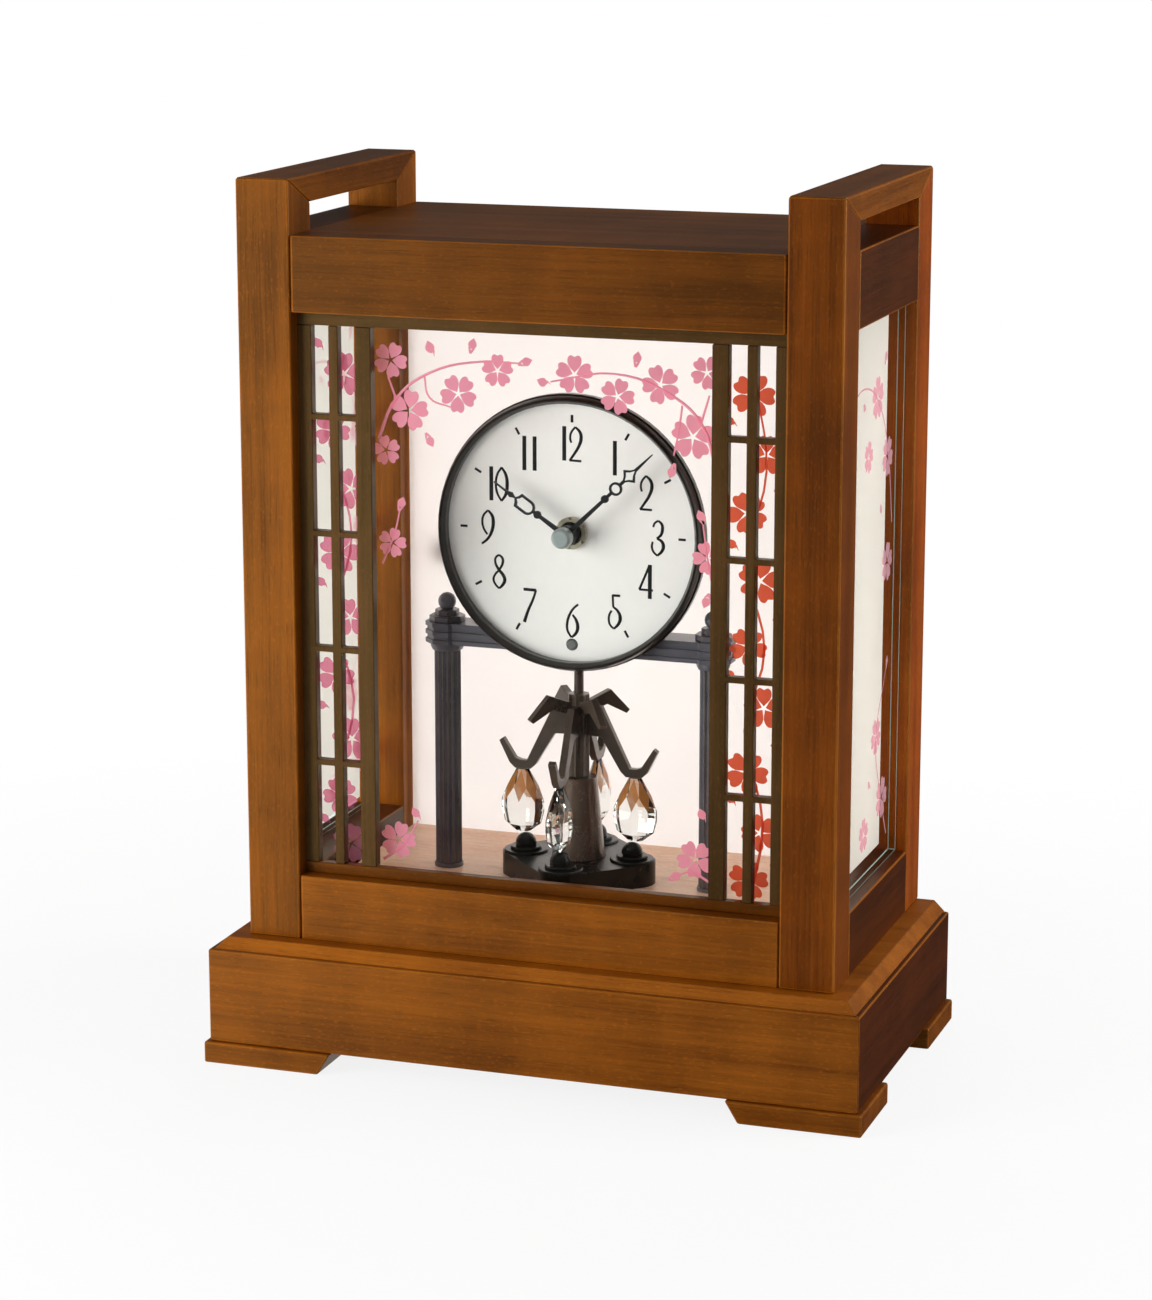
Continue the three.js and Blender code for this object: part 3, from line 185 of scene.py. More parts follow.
def soft_lamp(name, place, size, watts, in_gloss):
    """A square lamp turned to the clock, which gloss mirrors or doesn't."""
    bpy.ops.object.light_add(type="AREA", location=place)
    lamp = bpy.context.object
    lamp.name = name
    lamp.rotation_euler = (CLOCK_MIDDLE - Vector(place)).to_track_quat("-Z", "Y").to_euler()
    lamp.data.size = size
    lamp.data.energy = watts
    lamp.visible_glossy = in_gloss


# In gloss, the bright side of the table stands for the key lamp; the back lamp only lights the door
soft_lamp("key_lamp", place=(-0.52, -0.56, 0.24), size=0.5, watts=5.6, in_gloss=False)
soft_lamp("side_lamp", place=(1.0, 0.2, 0.5), size=0.5, watts=8, in_gloss=True)
soft_lamp("back_lamp", place=(-0.12, 0.95, 0.16), size=0.28, watts=5.5, in_gloss=False)

ROOM_AMBIENT = 0.41  # the light that the room gives from all sides
ROOM_CEILING = 0.1  # what gloss and glass show of it above the horizon
ROOM_OVERHEAD = 0.6  # and high up
HORIZON = (-0.05, 0.04)  # upward parts of a direction, between which these pass into each other
HIGH_UP = (0.5, 0.75)
world = bpy.data.worlds.new("white_room")
bpy.context.scene.world = world
world.use_nodes = True
room = Tree(world.node_tree)
towards = room.node("ShaderNodeTexCoord", {}, {}, "Generated")
upwards = room.node("ShaderNodeSeparateXYZ", {}, {"Vector": towards}, "Z")
seen = room.ray("Is Camera Ray")
mirrored = room.ray("Is Glossy Ray").either(room.ray("Is Transmission Ray"))
wall = 1 - (1 - ROOM_CEILING) * room.between(upwards, *HORIZON)
overhead = room.between(upwards, *HIGH_UP) * ROOM_OVERHEAD
level = seen.either(mirrored * wall.either(overhead) + (1 - mirrored) * ROOM_AMBIENT)
white_wall = room.node("ShaderNodeBackground", {}, {"Strength": level})
room.node("ShaderNodeOutputWorld", {}, {"Surface": white_wall})

TABLE_RADIUS = 30
TABLE_PAINT = srgb(242, 241, 240)
WHITE = srgb(255, 255, 255)
TABLE_WHITENESS = 0.86  # share of plain white around the clock; the rest takes its shadow
SHADOW_FROM = 0.22  # the table whitens out between these distances from the clock's middle
SHADOW_TO = 0.5
BRIGHT_SIDE = srgb(255, 254, 250)  # the table as gloss shows it, on the key lamp's side
DIM_SIDE = srgb(58, 54, 50)  # and on the side away from it
DIM_FROM = -0.14  # metres from a line through the clock, which slants to the left away from it
DIM_TO = 0.06
DIM_SLANT = 0.34
bpy.ops.mesh.primitive_circle_add(vertices=96, radius=TABLE_RADIUS, fill_type="NGON")
table = bpy.context.object
table.name = "table_top"
pale_top, tree = new_finish("pale_table_top")
glossy = tree.ray("Is Glossy Ray")
shown = tree.ray("Is Camera Ray").either(glossy).either(tree.ray("Is Transmission Ray"))
spot = tree.node("ShaderNodeTexCoord", {}, {}, "Object")
away = tree.node("ShaderNodeVectorMath", {"operation": "LENGTH"}, {0: spot}, "Value")
white = TABLE_WHITENESS + (1 - TABLE_WHITENESS) * tree.between(away, SHADOW_FROM, SHADOW_TO)
matt = tree.node("ShaderNodeBsdfDiffuse", {}, {"Color": TABLE_PAINT})
depth = tree.place("Y")
aside = tree.between(tree.place("X") + depth.either(0 - depth) * DIM_SLANT, DIM_FROM, DIM_TO)
graded = tree.mix(glossy, WHITE, tree.mix(aside, BRIGHT_SIDE, DIM_SIDE))
glow = tree.node("ShaderNodeEmission", {}, {"Color": graded, "Strength": 1.0})
tree.surface(tree.node("ShaderNodeMixShader", {}, {0: shown * white.either(glossy), 1: matt, 2: glow}))
table.data.materials.append(pale_top)

# Feet: four low corner blocks of the case wood, glued under the plinth. Every wooden piece is stained
# and sprayed with satin lacquer, and its arrises are rubbed down to lighter wood; that lighter colour on
# the eased edges is also a painted highlight.
WOOD_DARK = srgb(88, 41, 2)
WOOD_LIGHT = srgb(130, 68, 7)
RUBBED_HIGHLIT_DARK = srgb(108, 53, 6)
RUBBED_HIGHLIT_LIGHT = srgb(152, 85, 18)
FIBRE_CONTRAST = 1.2  # how strongly each pattern shows in the stain
BAND_CONTRAST = 1.6
FIGURE_CONTRAST = 0.7
TONER_CONTRAST = 1.3
PORE_SHADE = srgb(48, 22, 2)
PORE_SHARE = 0.4  # how much of its shade a pore takes
FLECK_LIFT = 1.8  # flecks are so much lighter than the light stain
FLECK_SHARE = 0.25
LACQUER_TINT = srgb(250, 247, 172)
MERGE = 1e-6  # metres between points that are one point
SHARP = math.radians(30)  # an edge that turns by more is eased
FOOT_EASE = 0.8 * MM


def stretched(axis, along, across):
    """Spots to the metre for a grain that runs along one axis."""
    return [along if name == axis else across for name in "xyz"]


def stained_wood(name, axis, dark, light):
    """Stained wood under satin lacquer, with its fibres along one axis."""
    finish, tree = new_finish(name)
    fibres = tree.noise(stretched(axis, along=22, across=1100), detail=4)
    bands = tree.noise(stretched(axis, along=5, across=120), detail=2)
    figure = tree.noise(stretched(axis, along=70, across=34), detail=2)
    toner = tree.even_noise(16, detail=1)
    streaks = (fibres - 0.5) * FIBRE_CONTRAST + (bands - 0.5) * BAND_CONTRAST
    tone = 0.5 + streaks + (figure - 0.5) * FIGURE_CONTRAST + (toner - 0.5) * TONER_CONTRAST
    pores = tree.noise(stretched(axis, along=110, across=2600), detail=1)
    pores = tree.between(pores, low=0.6, high=0.74)
    flecks = tree.noise(stretched(axis, along=480, across=1500), detail=1)
    flecks = tree.between(flecks, low=0.58, high=0.76)
    fleck_colour = (*[FLECK_LIFT * channel for channel in light[:3]], 1.0)
    stain = tree.mix(tone, dark, light)
    stain = tree.mix(pores * PORE_SHARE, stain, PORE_SHADE)
    stain = tree.mix(flecks * FLECK_SHARE, stain, fleck_colour)
    tree.surface(tree.principled({
        "Base Color": stain,
        "Roughness": 0.32 + fibres * 0.16,
        "Specular IOR Level": 0.45,
        "Specular Tint": LACQUER_TINT,
        "Normal": tree.bump(fibres - pores * 0.5, 0.05 * MM),
    }))
    return finish


def stained_set(name, dark, light):
    """One stain with its grain along X, Y or Z."""
    return {axis: stained_wood(f"{name}_{axis}", axis, dark, light) for axis in "xyz"}


case_wood = stained_set("case_wood", WOOD_DARK, WOOD_LIGHT)
# painted highlight: the eased edges take this lighter stain, as rubbed wood and as light caught along the
# arrises
rubbed_and_highlit_arris = stained_set("rubbed_and_highlit_arris", RUBBED_HIGHLIT_DARK, RUBBED_HIGHLIT_LIGHT)


def work_on(piece):
    """Makes one object the only selected and the active one."""
    bpy.ops.object.select_all(action="DESELECT")
    piece.select_set(True)
    bpy.context.view_layer.objects.active = piece


def finished(node, ease, finishes, openwork=False):
    """A copy of a solid with eased edges in its place; the last finish shows on the eased edges."""
    source = frame["nodes"][node]
    piece = bpy.data.objects.new(node + "_finished", source.data.copy())
    bpy.context.scene.collection.objects.link(piece)
    work_on(piece)
    bpy.ops.mesh.customdata_custom_splitnormals_clear()
    bpy.ops.object.mode_set(mode="EDIT")
    bpy.ops.mesh.select_all(action="SELECT")
    bpy.ops.mesh.remove_doubles(threshold=MERGE)
    if openwork:
        bpy.ops.mesh.tris_convert_to_quads(face_threshold=math.radians(1), shape_threshold=math.pi)
    else:
        bpy.ops.mesh.dissolve_limited(angle_limit=math.radians(0.5))
    bpy.ops.object.mode_set(mode="OBJECT")
    piece.data.materials.clear()
    for finish in finishes:
        piece.data.materials.append(finish)
    bpy.ops.object.shade_smooth_by_angle(angle=SHARP)
    if ease:
        bevel = piece.modifiers.new("eased_edges", "BEVEL")
        bevel.width = ease
        bevel.segments = 2
        bevel.limit_method = "ANGLE"
        bevel.angle_limit = SHARP
        bevel.harden_normals = True
        bevel.material = len(finishes) - 1
        bpy.ops.object.modifier_apply(modifier=bevel.name)
    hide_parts(node)
    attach(piece, source["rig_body"])
    return piece


def timber(node, axis, ease, stain=case_wood, openwork=False):
    return finished(node, ease, [stain[axis], rubbed_and_highlit_arris[axis]], openwork=openwork)


CORNERS = [f"{end}_{side}" for end in ("front", "rear") for side in ("left", "right")]
for corner in CORNERS:
    timber("foot_" + corner, "x", FOOT_EASE)

# Plinth: four boards mitred at the corners, closed by a top board with a chamfered edge that stands
# proud of them. The top and the long boards take lighter copies of the stain as painted light, and the
# short side boards a darker copy as painted shade.
PLINTH_EASE = 0.6 * MM
# painted light: a lighter copy of the stain for the long plinth boards and the front bottom rail
painted_light_golden = stained_set("painted_light_golden", srgb(98, 47, 4), srgb(140, 75, 10))
# painted shade: a darker, redder copy for the side boards and side rails, which face away from the key
# lamp
painted_shade_sides = stained_set("painted_shade_sides", srgb(55, 17, 1), srgb(81, 30, 3))
# painted light: the lightest copy, as the sheen on the plinth top's chamfer and the light inside the case
# on the rear left post
painted_light_ledge = stained_set("painted_light_ledge", srgb(116, 57, 6), srgb(160, 88, 16))
for end in ("front", "rear"):
    timber("plinth_" + end, "x", PLINTH_EASE, painted_light_golden)
for side in ("left", "right"):
    timber("plinth_" + side, "y", PLINTH_EASE, painted_shade_sides)
timber("plinth_top", "x", PLINTH_EASE, painted_light_ledge, openwork=True)

# Chime speaker: a black paper cone in a stamped basket, screwed under the plinth top, out of sight.
# The cone is pressed from pulp, so its surface is dull and a little uneven.
SPEAKER_EASE = 0.4 * MM
paper_cone, tree = new_finish("black_paper_cone")
pulp = tree.even_noise(2500, detail=3)
tree.surface(tree.principled({
    "Base Color": tree.mix(pulp, srgb(18, 18, 19), srgb(40, 40, 42)),
    "Roughness": 0.6 + pulp * 0.3,
    "Normal": tree.bump(pulp, 0.05 * MM),
}))
finished("speaker", SPEAKER_EASE, [paper_cone])

# Posts and handles: square corner posts, and a bar mitred between the tops of each side's two posts.
# Under each bar a slot is left for the fingers. The right front post is painted darker and redder, as
# shade; the rear posts are painted lighter, as light inside the case, and the right one redder too.
POST_EASE = 0.8 * MM
# painted shade and light: darker and lighter copies of the stain, set by where light falls on each post
painted_shade_russet = stained_set("painted_shade_russet", srgb(82, 33, 1), srgb(122, 57, 3))
painted_light_rusty = stained_set("painted_light_rusty", srgb(114, 45, 3), srgb(158, 73, 9))
POST_LIT_AND_SHADED = {"left": (case_wood, painted_light_ledge), "right": (painted_shade_russet, painted_light_rusty)}
for side in ("left", "right"):
    front_post_wood, rear_post_wood = POST_LIT_AND_SHADED[side]
    timber("post_front_" + side, "z", POST_EASE, front_post_wood)
    timber("post_rear_" + side, "z", POST_EASE, rear_post_wood)
    timber("handle_" + side, "y", POST_EASE)

# Rails and top: side rails above and below each window, rails across the front, and a thin panel that
# closes the case between the handles. All are tenoned into the posts and sit back a little from them.
RAIL_EASE = 0.6 * MM
# painted shade: a darker copy of the stain for the front top rail and the bottom lattice strip; the side
# rails take the darker side copy and the bottom rail the lighter golden one
painted_shade_deep = stained_set("painted_shade_deep", srgb(75, 34, 2), srgb(111, 56, 6))
for side in ("left", "right"):
    timber("upper_rail_" + side, "y", RAIL_EASE, painted_shade_sides)
    timber("lower_rail_" + side, "y", RAIL_EASE, painted_shade_sides)
timber("front_top_rail", "x", RAIL_EASE, painted_shade_deep)
timber("front_bottom_rail", "x", RAIL_EASE, painted_light_golden)
timber("top_panel", "x", RAIL_EASE, openwork=True)

# Floor board: a raised board of paler, reddish wood that the columns and the pendulum base stand on.
# It is planed, lacquered like the case and laid inside it on the plinth.
FLOOR_EASE = 0.5 * MM
FLOOR_DARK = srgb(236, 182, 150)
FLOOR_LIGHT = srgb(250, 212, 186)
pale_wood = stained_wood("pale_floor_wood", "x", FLOOR_DARK, FLOOR_LIGHT)
finished("floor_board", FLOOR_EASE, [pale_wood])

# Columns and crossbar: fluted columns with a ring at the head, a grooved bar across them and a stepped
# finial with a ball on each end, cast and lacquered in dark bronze.
METAL_EASE = 0.25 * MM


def bronze_lacquer(name, dark, light, roughness):
    """Dark lacquer over cast metal: a little uneven, with a soft gloss."""
    finish, tree = new_finish(name)
    cloud = tree.even_noise(90, detail=3)
    grit = tree.even_noise(1800, detail=2)
    tree.surface(tree.principled({
        "Base Color": tree.mix(cloud, dark, light),
        "Metallic": 0.35,
        "Roughness": roughness + (cloud - 0.5) * 0.12 + (grit - 0.5) * 0.08,
        "Coat Weight": 0.3,
        "Coat Roughness": 0.2,
        "Normal": tree.bump(grit, 0.02 * MM),
    }))
    return finish


FLUTE_EASE = 0.15 * MM
column_bronze = bronze_lacquer(
    "column_bronze", srgb(86, 84, 92), srgb(116, 113, 122), roughness=0.34)
# painted highlight: the eased arrises take a warmer, lighter lacquer, as rubbed metal and as light caught
# along the flutes and edges
highlit_bronze_arris = bronze_lacquer(
    "rubbed_highlit_bronze", srgb(92, 80, 70), srgb(122, 108, 92), roughness=0.28)
for side in ("left", "right"):
    finished("column_" + side, FLUTE_EASE, [column_bronze, highlit_bronze_arris])
    finished("finial_" + side, METAL_EASE, [column_bronze, highlit_bronze_arris])
finished("crossbar", METAL_EASE, [column_bronze, highlit_bronze_arris], openwork=True)

# Bezel: a deep ring turned in two steps around the dial, in a blacker coat of the columns' lacquer.
# The dial sheet lies inside it, in front of the movement.
BEZEL_EASE = 0.35 * MM
bezel_bronze = bronze_lacquer(
    "bezel_bronze", srgb(30, 25, 23), srgb(46, 39, 35), roughness=0.32)
finished("dial_bezel", BEZEL_EASE, [bezel_bronze], openwork=True)

# Dial: a white sheet with printed numbers and hour dashes. The ink lies in thin raised strokes that
# swell on one side, drawn here with a pen of changing width and pressed flat on the sheet.
DIAL_CENTRE = Vector((0, 0, 200 * MM))
DIAL_FRONT_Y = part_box("dial_plate")[0].y
NUMBER_ORBIT = 32.9  # millimetres from the dial's middle, as the dashes' ends are
DASH_FROM = 40.8
DASH_TO = 43.6
DASH_WIDTH = 0.65
INK_RELIEF = 0.06  # share of its width that a stroke stands up
INK_SPREAD = 0.42  # millimetres that the ink adds to the width of every stroke
SENSOR_HOUR = 6  # the light sensor takes this hour's dash

sheet, tree = new_finish("dial_sheet")
paper = tree.even_noise(500, detail=3)
tree.surface(tree.principled({
    "Base Color": tree.mix(paper, srgb(244, 241, 238), srgb(251, 248, 245)),
    "Roughness": 0.5 + paper * 0.15,
    "Normal": tree.bump(paper, 0.01 * MM),
}))
dial = frame["nodes"]["dial_plate"]
dial.data.materials.clear()
dial.data.materials.append(sheet)

# Pen strokes of each digit: (right, up, width) in millimetres about the digit's middle
DIGITS = {
    "0": [
        [(0.1, 6.3, 0.5), (-1.6, 3.6, 0.6), (-2.2, 0, 0.65), (-1.6, -3.6, 0.6), (0, -6.3, 0.5)],
        [(0.1, 6.3, 0.5), (1.7, 3.6, 0.95), (2.2, 0, 1.15), (1.7, -3.6, 0.95), (0, -6.3, 0.5)],
    ],
    "1": [[(0, 6.4, 1.1), (0, -6.3, 1.1)]],
    "2": [
        [(-1.7, 0.4, 0.5), (-2.1, 2.2, 0.55), (-1.7, 4.2, 0.55), (-0.1, 6.3, 0.5)],
        [(-0.1, 6.3, 0.5), (1.7, 4.4, 0.95), (2.1, 2.2, 1.15), (1.2, -0.8, 0.9), (-0.9, -4.2, 0.7),
         (-2.3, -6.2, 0.6)],
        [(-2.4, -6.1, 0.6), (2.2, -6.2, 0.6)],
    ],
    "3": [
        [(-1.7, 4.0, 0.5), (-1.2, 5.4, 0.5), (0.2, 6.5, 0.5)],
        [(0.2, 6.5, 0.5), (1.6, 5.1, 0.85), (1.8, 3.2, 1.0), (1.2, 1.2, 0.8), (-0.3, -0.1, 0.5)],
        [(-0.3, -0.1, 0.5), (1.6, -1.2, 0.9), (2.2, -2.9, 1.15), (1.6, -4.8, 0.9), (-0.1, -6.5, 0.5)],
        [(-0.1, -6.5, 0.5), (-1.6, -5.1, 0.55), (-2.2, -3.3, 0.6), (-1.9, -1.4, 0.5)],
    ],
    "4": [
        [(1.5, 6.4, 1.1), (1.5, -6.3, 1.1)],
        [(1.4, 6.3, 0.6), (-2.5, -3.0, 0.6)],
        [(-2.6, -3.0, 0.6), (2.7, -3.1, 0.6)],
    ],
    "5": [
        [(-0.9, 6.1, 0.65), (2.2, 6.1, 0.65)],
        [(-0.7, 6.2, 0.6), (-0.5, 1.8, 0.55)],
        [(-0.6, 1.9, 0.5), (1.3, 0.3, 0.8), (2.2, -2.2, 1.15), (1.6, -4.4, 0.95), (-0.2, -6.4, 0.5)],
        [(-0.2, -6.4, 0.5), (-1.7, -5.0, 0.55), (-2.2, -3.0, 0.6), (-1.9, -1.0, 0.55), (-1.1, 0.4, 0.5)],
    ],
    "6": [
        [(2.4, 6.2, 0.55), (0.6, 4.6, 0.6), (-1.0, 2.0, 0.7), (-1.9, -1.2, 0.75), (-1.7, -4.0, 0.65),
         (-0.2, -6.4, 0.5)],
        [(-0.2, -6.4, 0.5), (1.6, -4.6, 0.95), (2.2, -2.4, 1.15), (1.7, 0.0, 0.95), (0.2, 2.2, 0.5)],
    ],
    "7": [
        [(-2.5, 6.1, 0.9), (2.5, 6.0, 0.9)],
        [(2.4, 6.0, 0.6), (1.2, 2.4, 0.65), (-0.6, -1.6, 0.85), (-2.2, -6.3, 1.1)],
    ],
    "8": [
        [(0, 6.4, 0.5), (-1.3, 5.2, 0.55), (-1.5, 3.7, 0.6), (-0.2, 0.9, 0.85), (1.6, -1.2, 1.1),
         (2.2, -3.0, 1.15), (1.4, -4.9, 0.9), (0, -6.3, 0.5)],
        [(0, 6.4, 0.5), (1.3, 5.2, 0.7), (1.5, 3.7, 0.75), (0.2, 0.9, 0.55), (-1.6, -1.2, 0.55),
         (-2.2, -3.0, 0.6), (-1.4, -4.9, 0.55), (0, -6.3, 0.5)],
    ],
    "9": [
        [(0.2, 6.4, 0.5), (-1.5, 4.6, 0.55), (-2.1, 2.2, 0.6), (-1.5, -0.6, 0.55), (-0.1, -2.7, 0.5)],
        [(0.2, 6.4, 0.5), (1.8, 4.4, 0.95), (2.2, 2.0, 1.15), (1.6, -1.4, 0.95), (0.1, -4.2, 0.75),
         (-2.3, -6.3, 0.55)],
    ],
}
DIGIT_PLACES = {
    "10": [("1", -2.9), ("0", 1.1)],
    "11": [("1", -2.0), ("1", 2.0)],
    "12": [("1", -3.0), ("2", 1.4)],
}


def pen_drawing(name, strokes, spread=0.0):
    """Flat strokes of changing width, (right, up, width) in millimetres, drawn in the XZ plane."""
    curve = bpy.data.curves.new(name, "CURVE")
    curve.dimensions = "3D"
    curve.bevel_depth = 0.5 * MM  # so that the radius of a point is the width there, in millimetres
    curve.bevel_resolution = 1
    curve.resolution_u = 5
    curve.use_fill_caps = True
    for stroke in strokes:
        spline = curve.splines.new("BEZIER")
        spline.bezier_points.add(len(stroke) - 1)
        for point, (right, up, width) in zip(spline.bezier_points, stroke):
            point.co = (right * MM, 0, up * MM)
            point.radius = width + spread
            point.handle_left_type = point.handle_right_type = "AUTO"
    drawing = bpy.data.objects.new(name, curve)
    bpy.context.scene.collection.objects.link(drawing)
    work_on(drawing)
    bpy.ops.object.convert(target="MESH")
    drawing = bpy.context.object
    drawing.data.transform(Matrix.Diagonal((1, INK_RELIEF, 1, 1)))
    bpy.ops.object.shade_smooth()
    return drawing


dial_strokes = []
for hour in range(1, 13):
    sine = math.sin(hour * math.pi / 6)
    cosine = math.cos(hour * math.pi / 6)
    if hour != SENSOR_HOUR:
        dial_strokes.append([(r * sine, r * cosine, DASH_WIDTH) for r in (DASH_FROM, DASH_TO)])
    for digit, shift in DIGIT_PLACES.get(str(hour), [(str(hour), 0)]):
        for stroke in DIGITS[digit]:
            dial_strokes.append([
                (NUMBER_ORBIT * sine + shift + right, NUMBER_ORBIT * cosine + up, width)
                for right, up, width in stroke
            ])
numbers = pen_drawing("dial_numbers", dial_strokes, INK_SPREAD)
numbers.data.transform(Matrix.Translation(DIAL_CENTRE + Vector((0, DIAL_FRONT_Y, 0))))
black_ink, tree = new_finish("black_dial_ink")
print_grain = tree.even_noise(3000, detail=2)
tree.surface(tree.principled({
    "Base Color": tree.mix(print_grain, srgb(14, 15, 17), srgb(30, 31, 33)),
    "Roughness": 0.4 + print_grain * 0.2,
}))
numbers.data.materials.append(black_ink)
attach(numbers, "case")

# Light sensor: a smoked plastic dome set in the dial, which silences the chime in the dark.
# It is a polished moulding, pushed through the sheet where its hour's dash would be.
SENSOR_EASE = 0.25 * MM
smoked, tree = new_finish("smoked_plastic")
haze = tree.even_noise(900, detail=2)
tree.surface(tree.principled({
    "Base Color": tree.mix(haze, srgb(92, 93, 93), srgb(122, 122, 120)),
    "Roughness": 0.12 + haze * 0.12,
    "Coat Weight": 0.6,
}))
finished("light_sensor", SENSOR_EASE, [smoked])

# Movement: a black moulded quartz movement on the crossbar behind the dial, with its cell, a knob that
# sets the hands, a volume knob and a button. The mouldings have a fine spark-eroded texture.
MOVEMENT_EASE = 0.8 * MM
CONTROL_EASE = 0.35 * MM


def moulding(name, dark, light):
    finish, tree = new_finish(name)
    texture = tree.even_noise(2200, detail=2)
    sheen = tree.even_noise(60, detail=2)
    tree.surface(tree.principled({
        "Base Color": tree.mix(texture * 0.5 + sheen * 0.5, dark, light),
        "Roughness": 0.4 + texture * 0.2,
        "Normal": tree.bump(texture, 0.04 * MM),
    }))
    return finish


black_moulding = moulding("black_moulding", srgb(15, 16, 17), srgb(34, 35, 36))
grey_moulding = moulding("grey_moulding", srgb(118, 120, 122), srgb(146, 148, 149))
finished("movement_case", MOVEMENT_EASE, [black_moulding], openwork=True)
finished("set_knob", CONTROL_EASE, [black_moulding])
finished("volume_knob", CONTROL_EASE, [grey_moulding])
finished("demo_button", CONTROL_EASE, [grey_moulding])

BRASS_FROM = 8 * MM  # where the dark part of the cell's sleeve ends
BRASS_TO = 8.4 * MM
cell_sleeve, tree = new_finish("cell_sleeve")
wear = tree.even_noise(700, detail=3)
brass_end = tree.between(tree.place("X"), BRASS_FROM, BRASS_TO)
sleeve = tree.mix(brass_end, srgb(40, 44, 50), srgb(186, 140, 74))
tree.surface(tree.principled({
    "Base Color": tree.mix(wear * 0.3, sleeve, srgb(120, 118, 112)),
    "Metallic": 0.6,
    "Roughness": 0.28 + wear * 0.15,
}))
finished("battery", CONTROL_EASE, [cell_sleeve])

# Nut, hands and cap: a plated nut clamps the dial, and over it turn two openwork hands, stamped and
# lacquered black, under a satin cap on the steel arbor.
HAND_EASE = 0.14 * MM
NUT_EASE = 0.25 * MM
CAP_EASE = 0.4 * MM


def plated_metal(name, dark, light, roughness, metallic):
    """Turned and plated metal, with fine rings around the clock's front-to-back axis."""
    finish, tree = new_finish(name)
    turning = tree.noise((300, 4000, 300), detail=2)
    tree.surface(tree.principled({
        "Base Color": tree.mix(turning, dark, light),
        "Metallic": metallic,
        "Roughness": roughness + turning * 0.12,
        "Normal": tree.bump(turning, 0.01 * MM),
    }))
    return finish


pale_brass = plated_metal(
    "pale_brass", srgb(186, 180, 156), srgb(212, 206, 184), roughness=0.26, metallic=0.6)
bright_steel = plated_metal(
    "bright_steel", srgb(176, 178, 178), srgb(206, 208, 208), roughness=0.2, metallic=1.0)
satin_silver = plated_metal(
    "satin_silver", srgb(152, 162, 162), srgb(182, 190, 190), roughness=0.3, metallic=0.4)
hand_lacquer, tree = new_finish("black_hand_lacquer")
spray = tree.even_noise(1600, detail=2)
tree.surface(tree.principled({
    "Base Color": tree.mix(spray, srgb(16, 18, 21), srgb(32, 34, 37)),
    "Roughness": 0.3 + spray * 0.15,
    "Coat Weight": 0.3,
    "Normal": tree.bump(spray, 0.01 * MM),
}))
finished("centre_nut", NUT_EASE, [pale_brass], openwork=True)
finished("hour_hand", HAND_EASE, [hand_lacquer], openwork=True)
finished("minute_hand", HAND_EASE, [hand_lacquer], openwork=True)
finished("minute_arbor", 0, [bright_steel])
finished("hand_cap", CAP_EASE, [satin_silver])

# Pendulum base: a glossy black moulding with a stepped boss on each of its four corners, and over its
# middle a lacquered cone that hides the turning gear.
BASE_EASE = 0.5 * MM
glossy_black, tree = new_finish("glossy_black_moulding")
flow = tree.even_noise(120, detail=2)
tree.surface(tree.principled({
    "Base Color": tree.mix(flow, srgb(9, 9, 6), srgb(18, 17, 13)),
    "Roughness": 0.2 + flow * 0.12,
    "Specular IOR Level": 0.4,
}))
finished("pendulum_base", BASE_EASE, [glossy_black])
cone_bronze = bronze_lacquer("cone_bronze", srgb(84, 68, 58), srgb(112, 92, 80), roughness=0.26)
finished("pendulum_cone", METAL_EASE, [cone_bronze])

# Pendulum: a rod, a ribbed hub, four hooked arms and, between them, four wings, cast in one and
# lacquered brown bronze. It hangs in the crossbar and turns over the cone.
ARM_EASE = 0.4 * MM
arm_bronze = bronze_lacquer("arm_bronze", srgb(66, 55, 48), srgb(94, 80, 70), roughness=0.3)
finished("pendulum_spider", ARM_EASE, [arm_bronze, highlit_bronze_arris])

# Crystals: four flattened drops of clear glass with large panels below and a collar of kites around the
# neck, each glued under an arm. The kites' amber is a painted reflection of the case wood, seen from
# outside; the kites of the front drop are left clear.
CRYSTAL_IOR = 1.5
KITE_FOOT = 0.6  # shares of a drop's height
KITE_HEAD = 0.95
CLEAR_DROP = "front"
CLEAR_GLASS = srgb(252, 253, 252)
REFLECTED_WOOD_DARK = srgb(172, 98, 38)
REFLECTED_WOOD_LIGHT = srgb(206, 140, 76)


def cut_glass(name, outside, clarity):
    """Clear cut glass, with a painted reflection colour that shows only on the side turned to the viewer.
    """
    finish, tree = new_finish(name)
    seeds = tree.even_noise(400, detail=1)
    inside = tree.node("ShaderNodeNewGeometry", {}, {}, "Backfacing")
    clear = tree.node("ShaderNodeBsdfGlass", {}, {
        "Color": CLEAR_GLASS,
        "Roughness": seeds * 0.02,
        "IOR": CRYSTAL_IOR,
    })
    painted_reflection = tree.principled({
        "Base Color": tree.mix(seeds, outside, REFLECTED_WOOD_LIGHT),
        "Roughness": 0.08 + seeds * 0.1,
        "IOR": CRYSTAL_IOR,
    })
    tree.surface(tree.node("ShaderNodeMixShader", {}, {0: inside.either(clarity), 1: painted_reflection, 2: clear}))
    return finish


panel_glass = cut_glass("crystal_panels", outside=srgb(250, 250, 249), clarity=1.0)
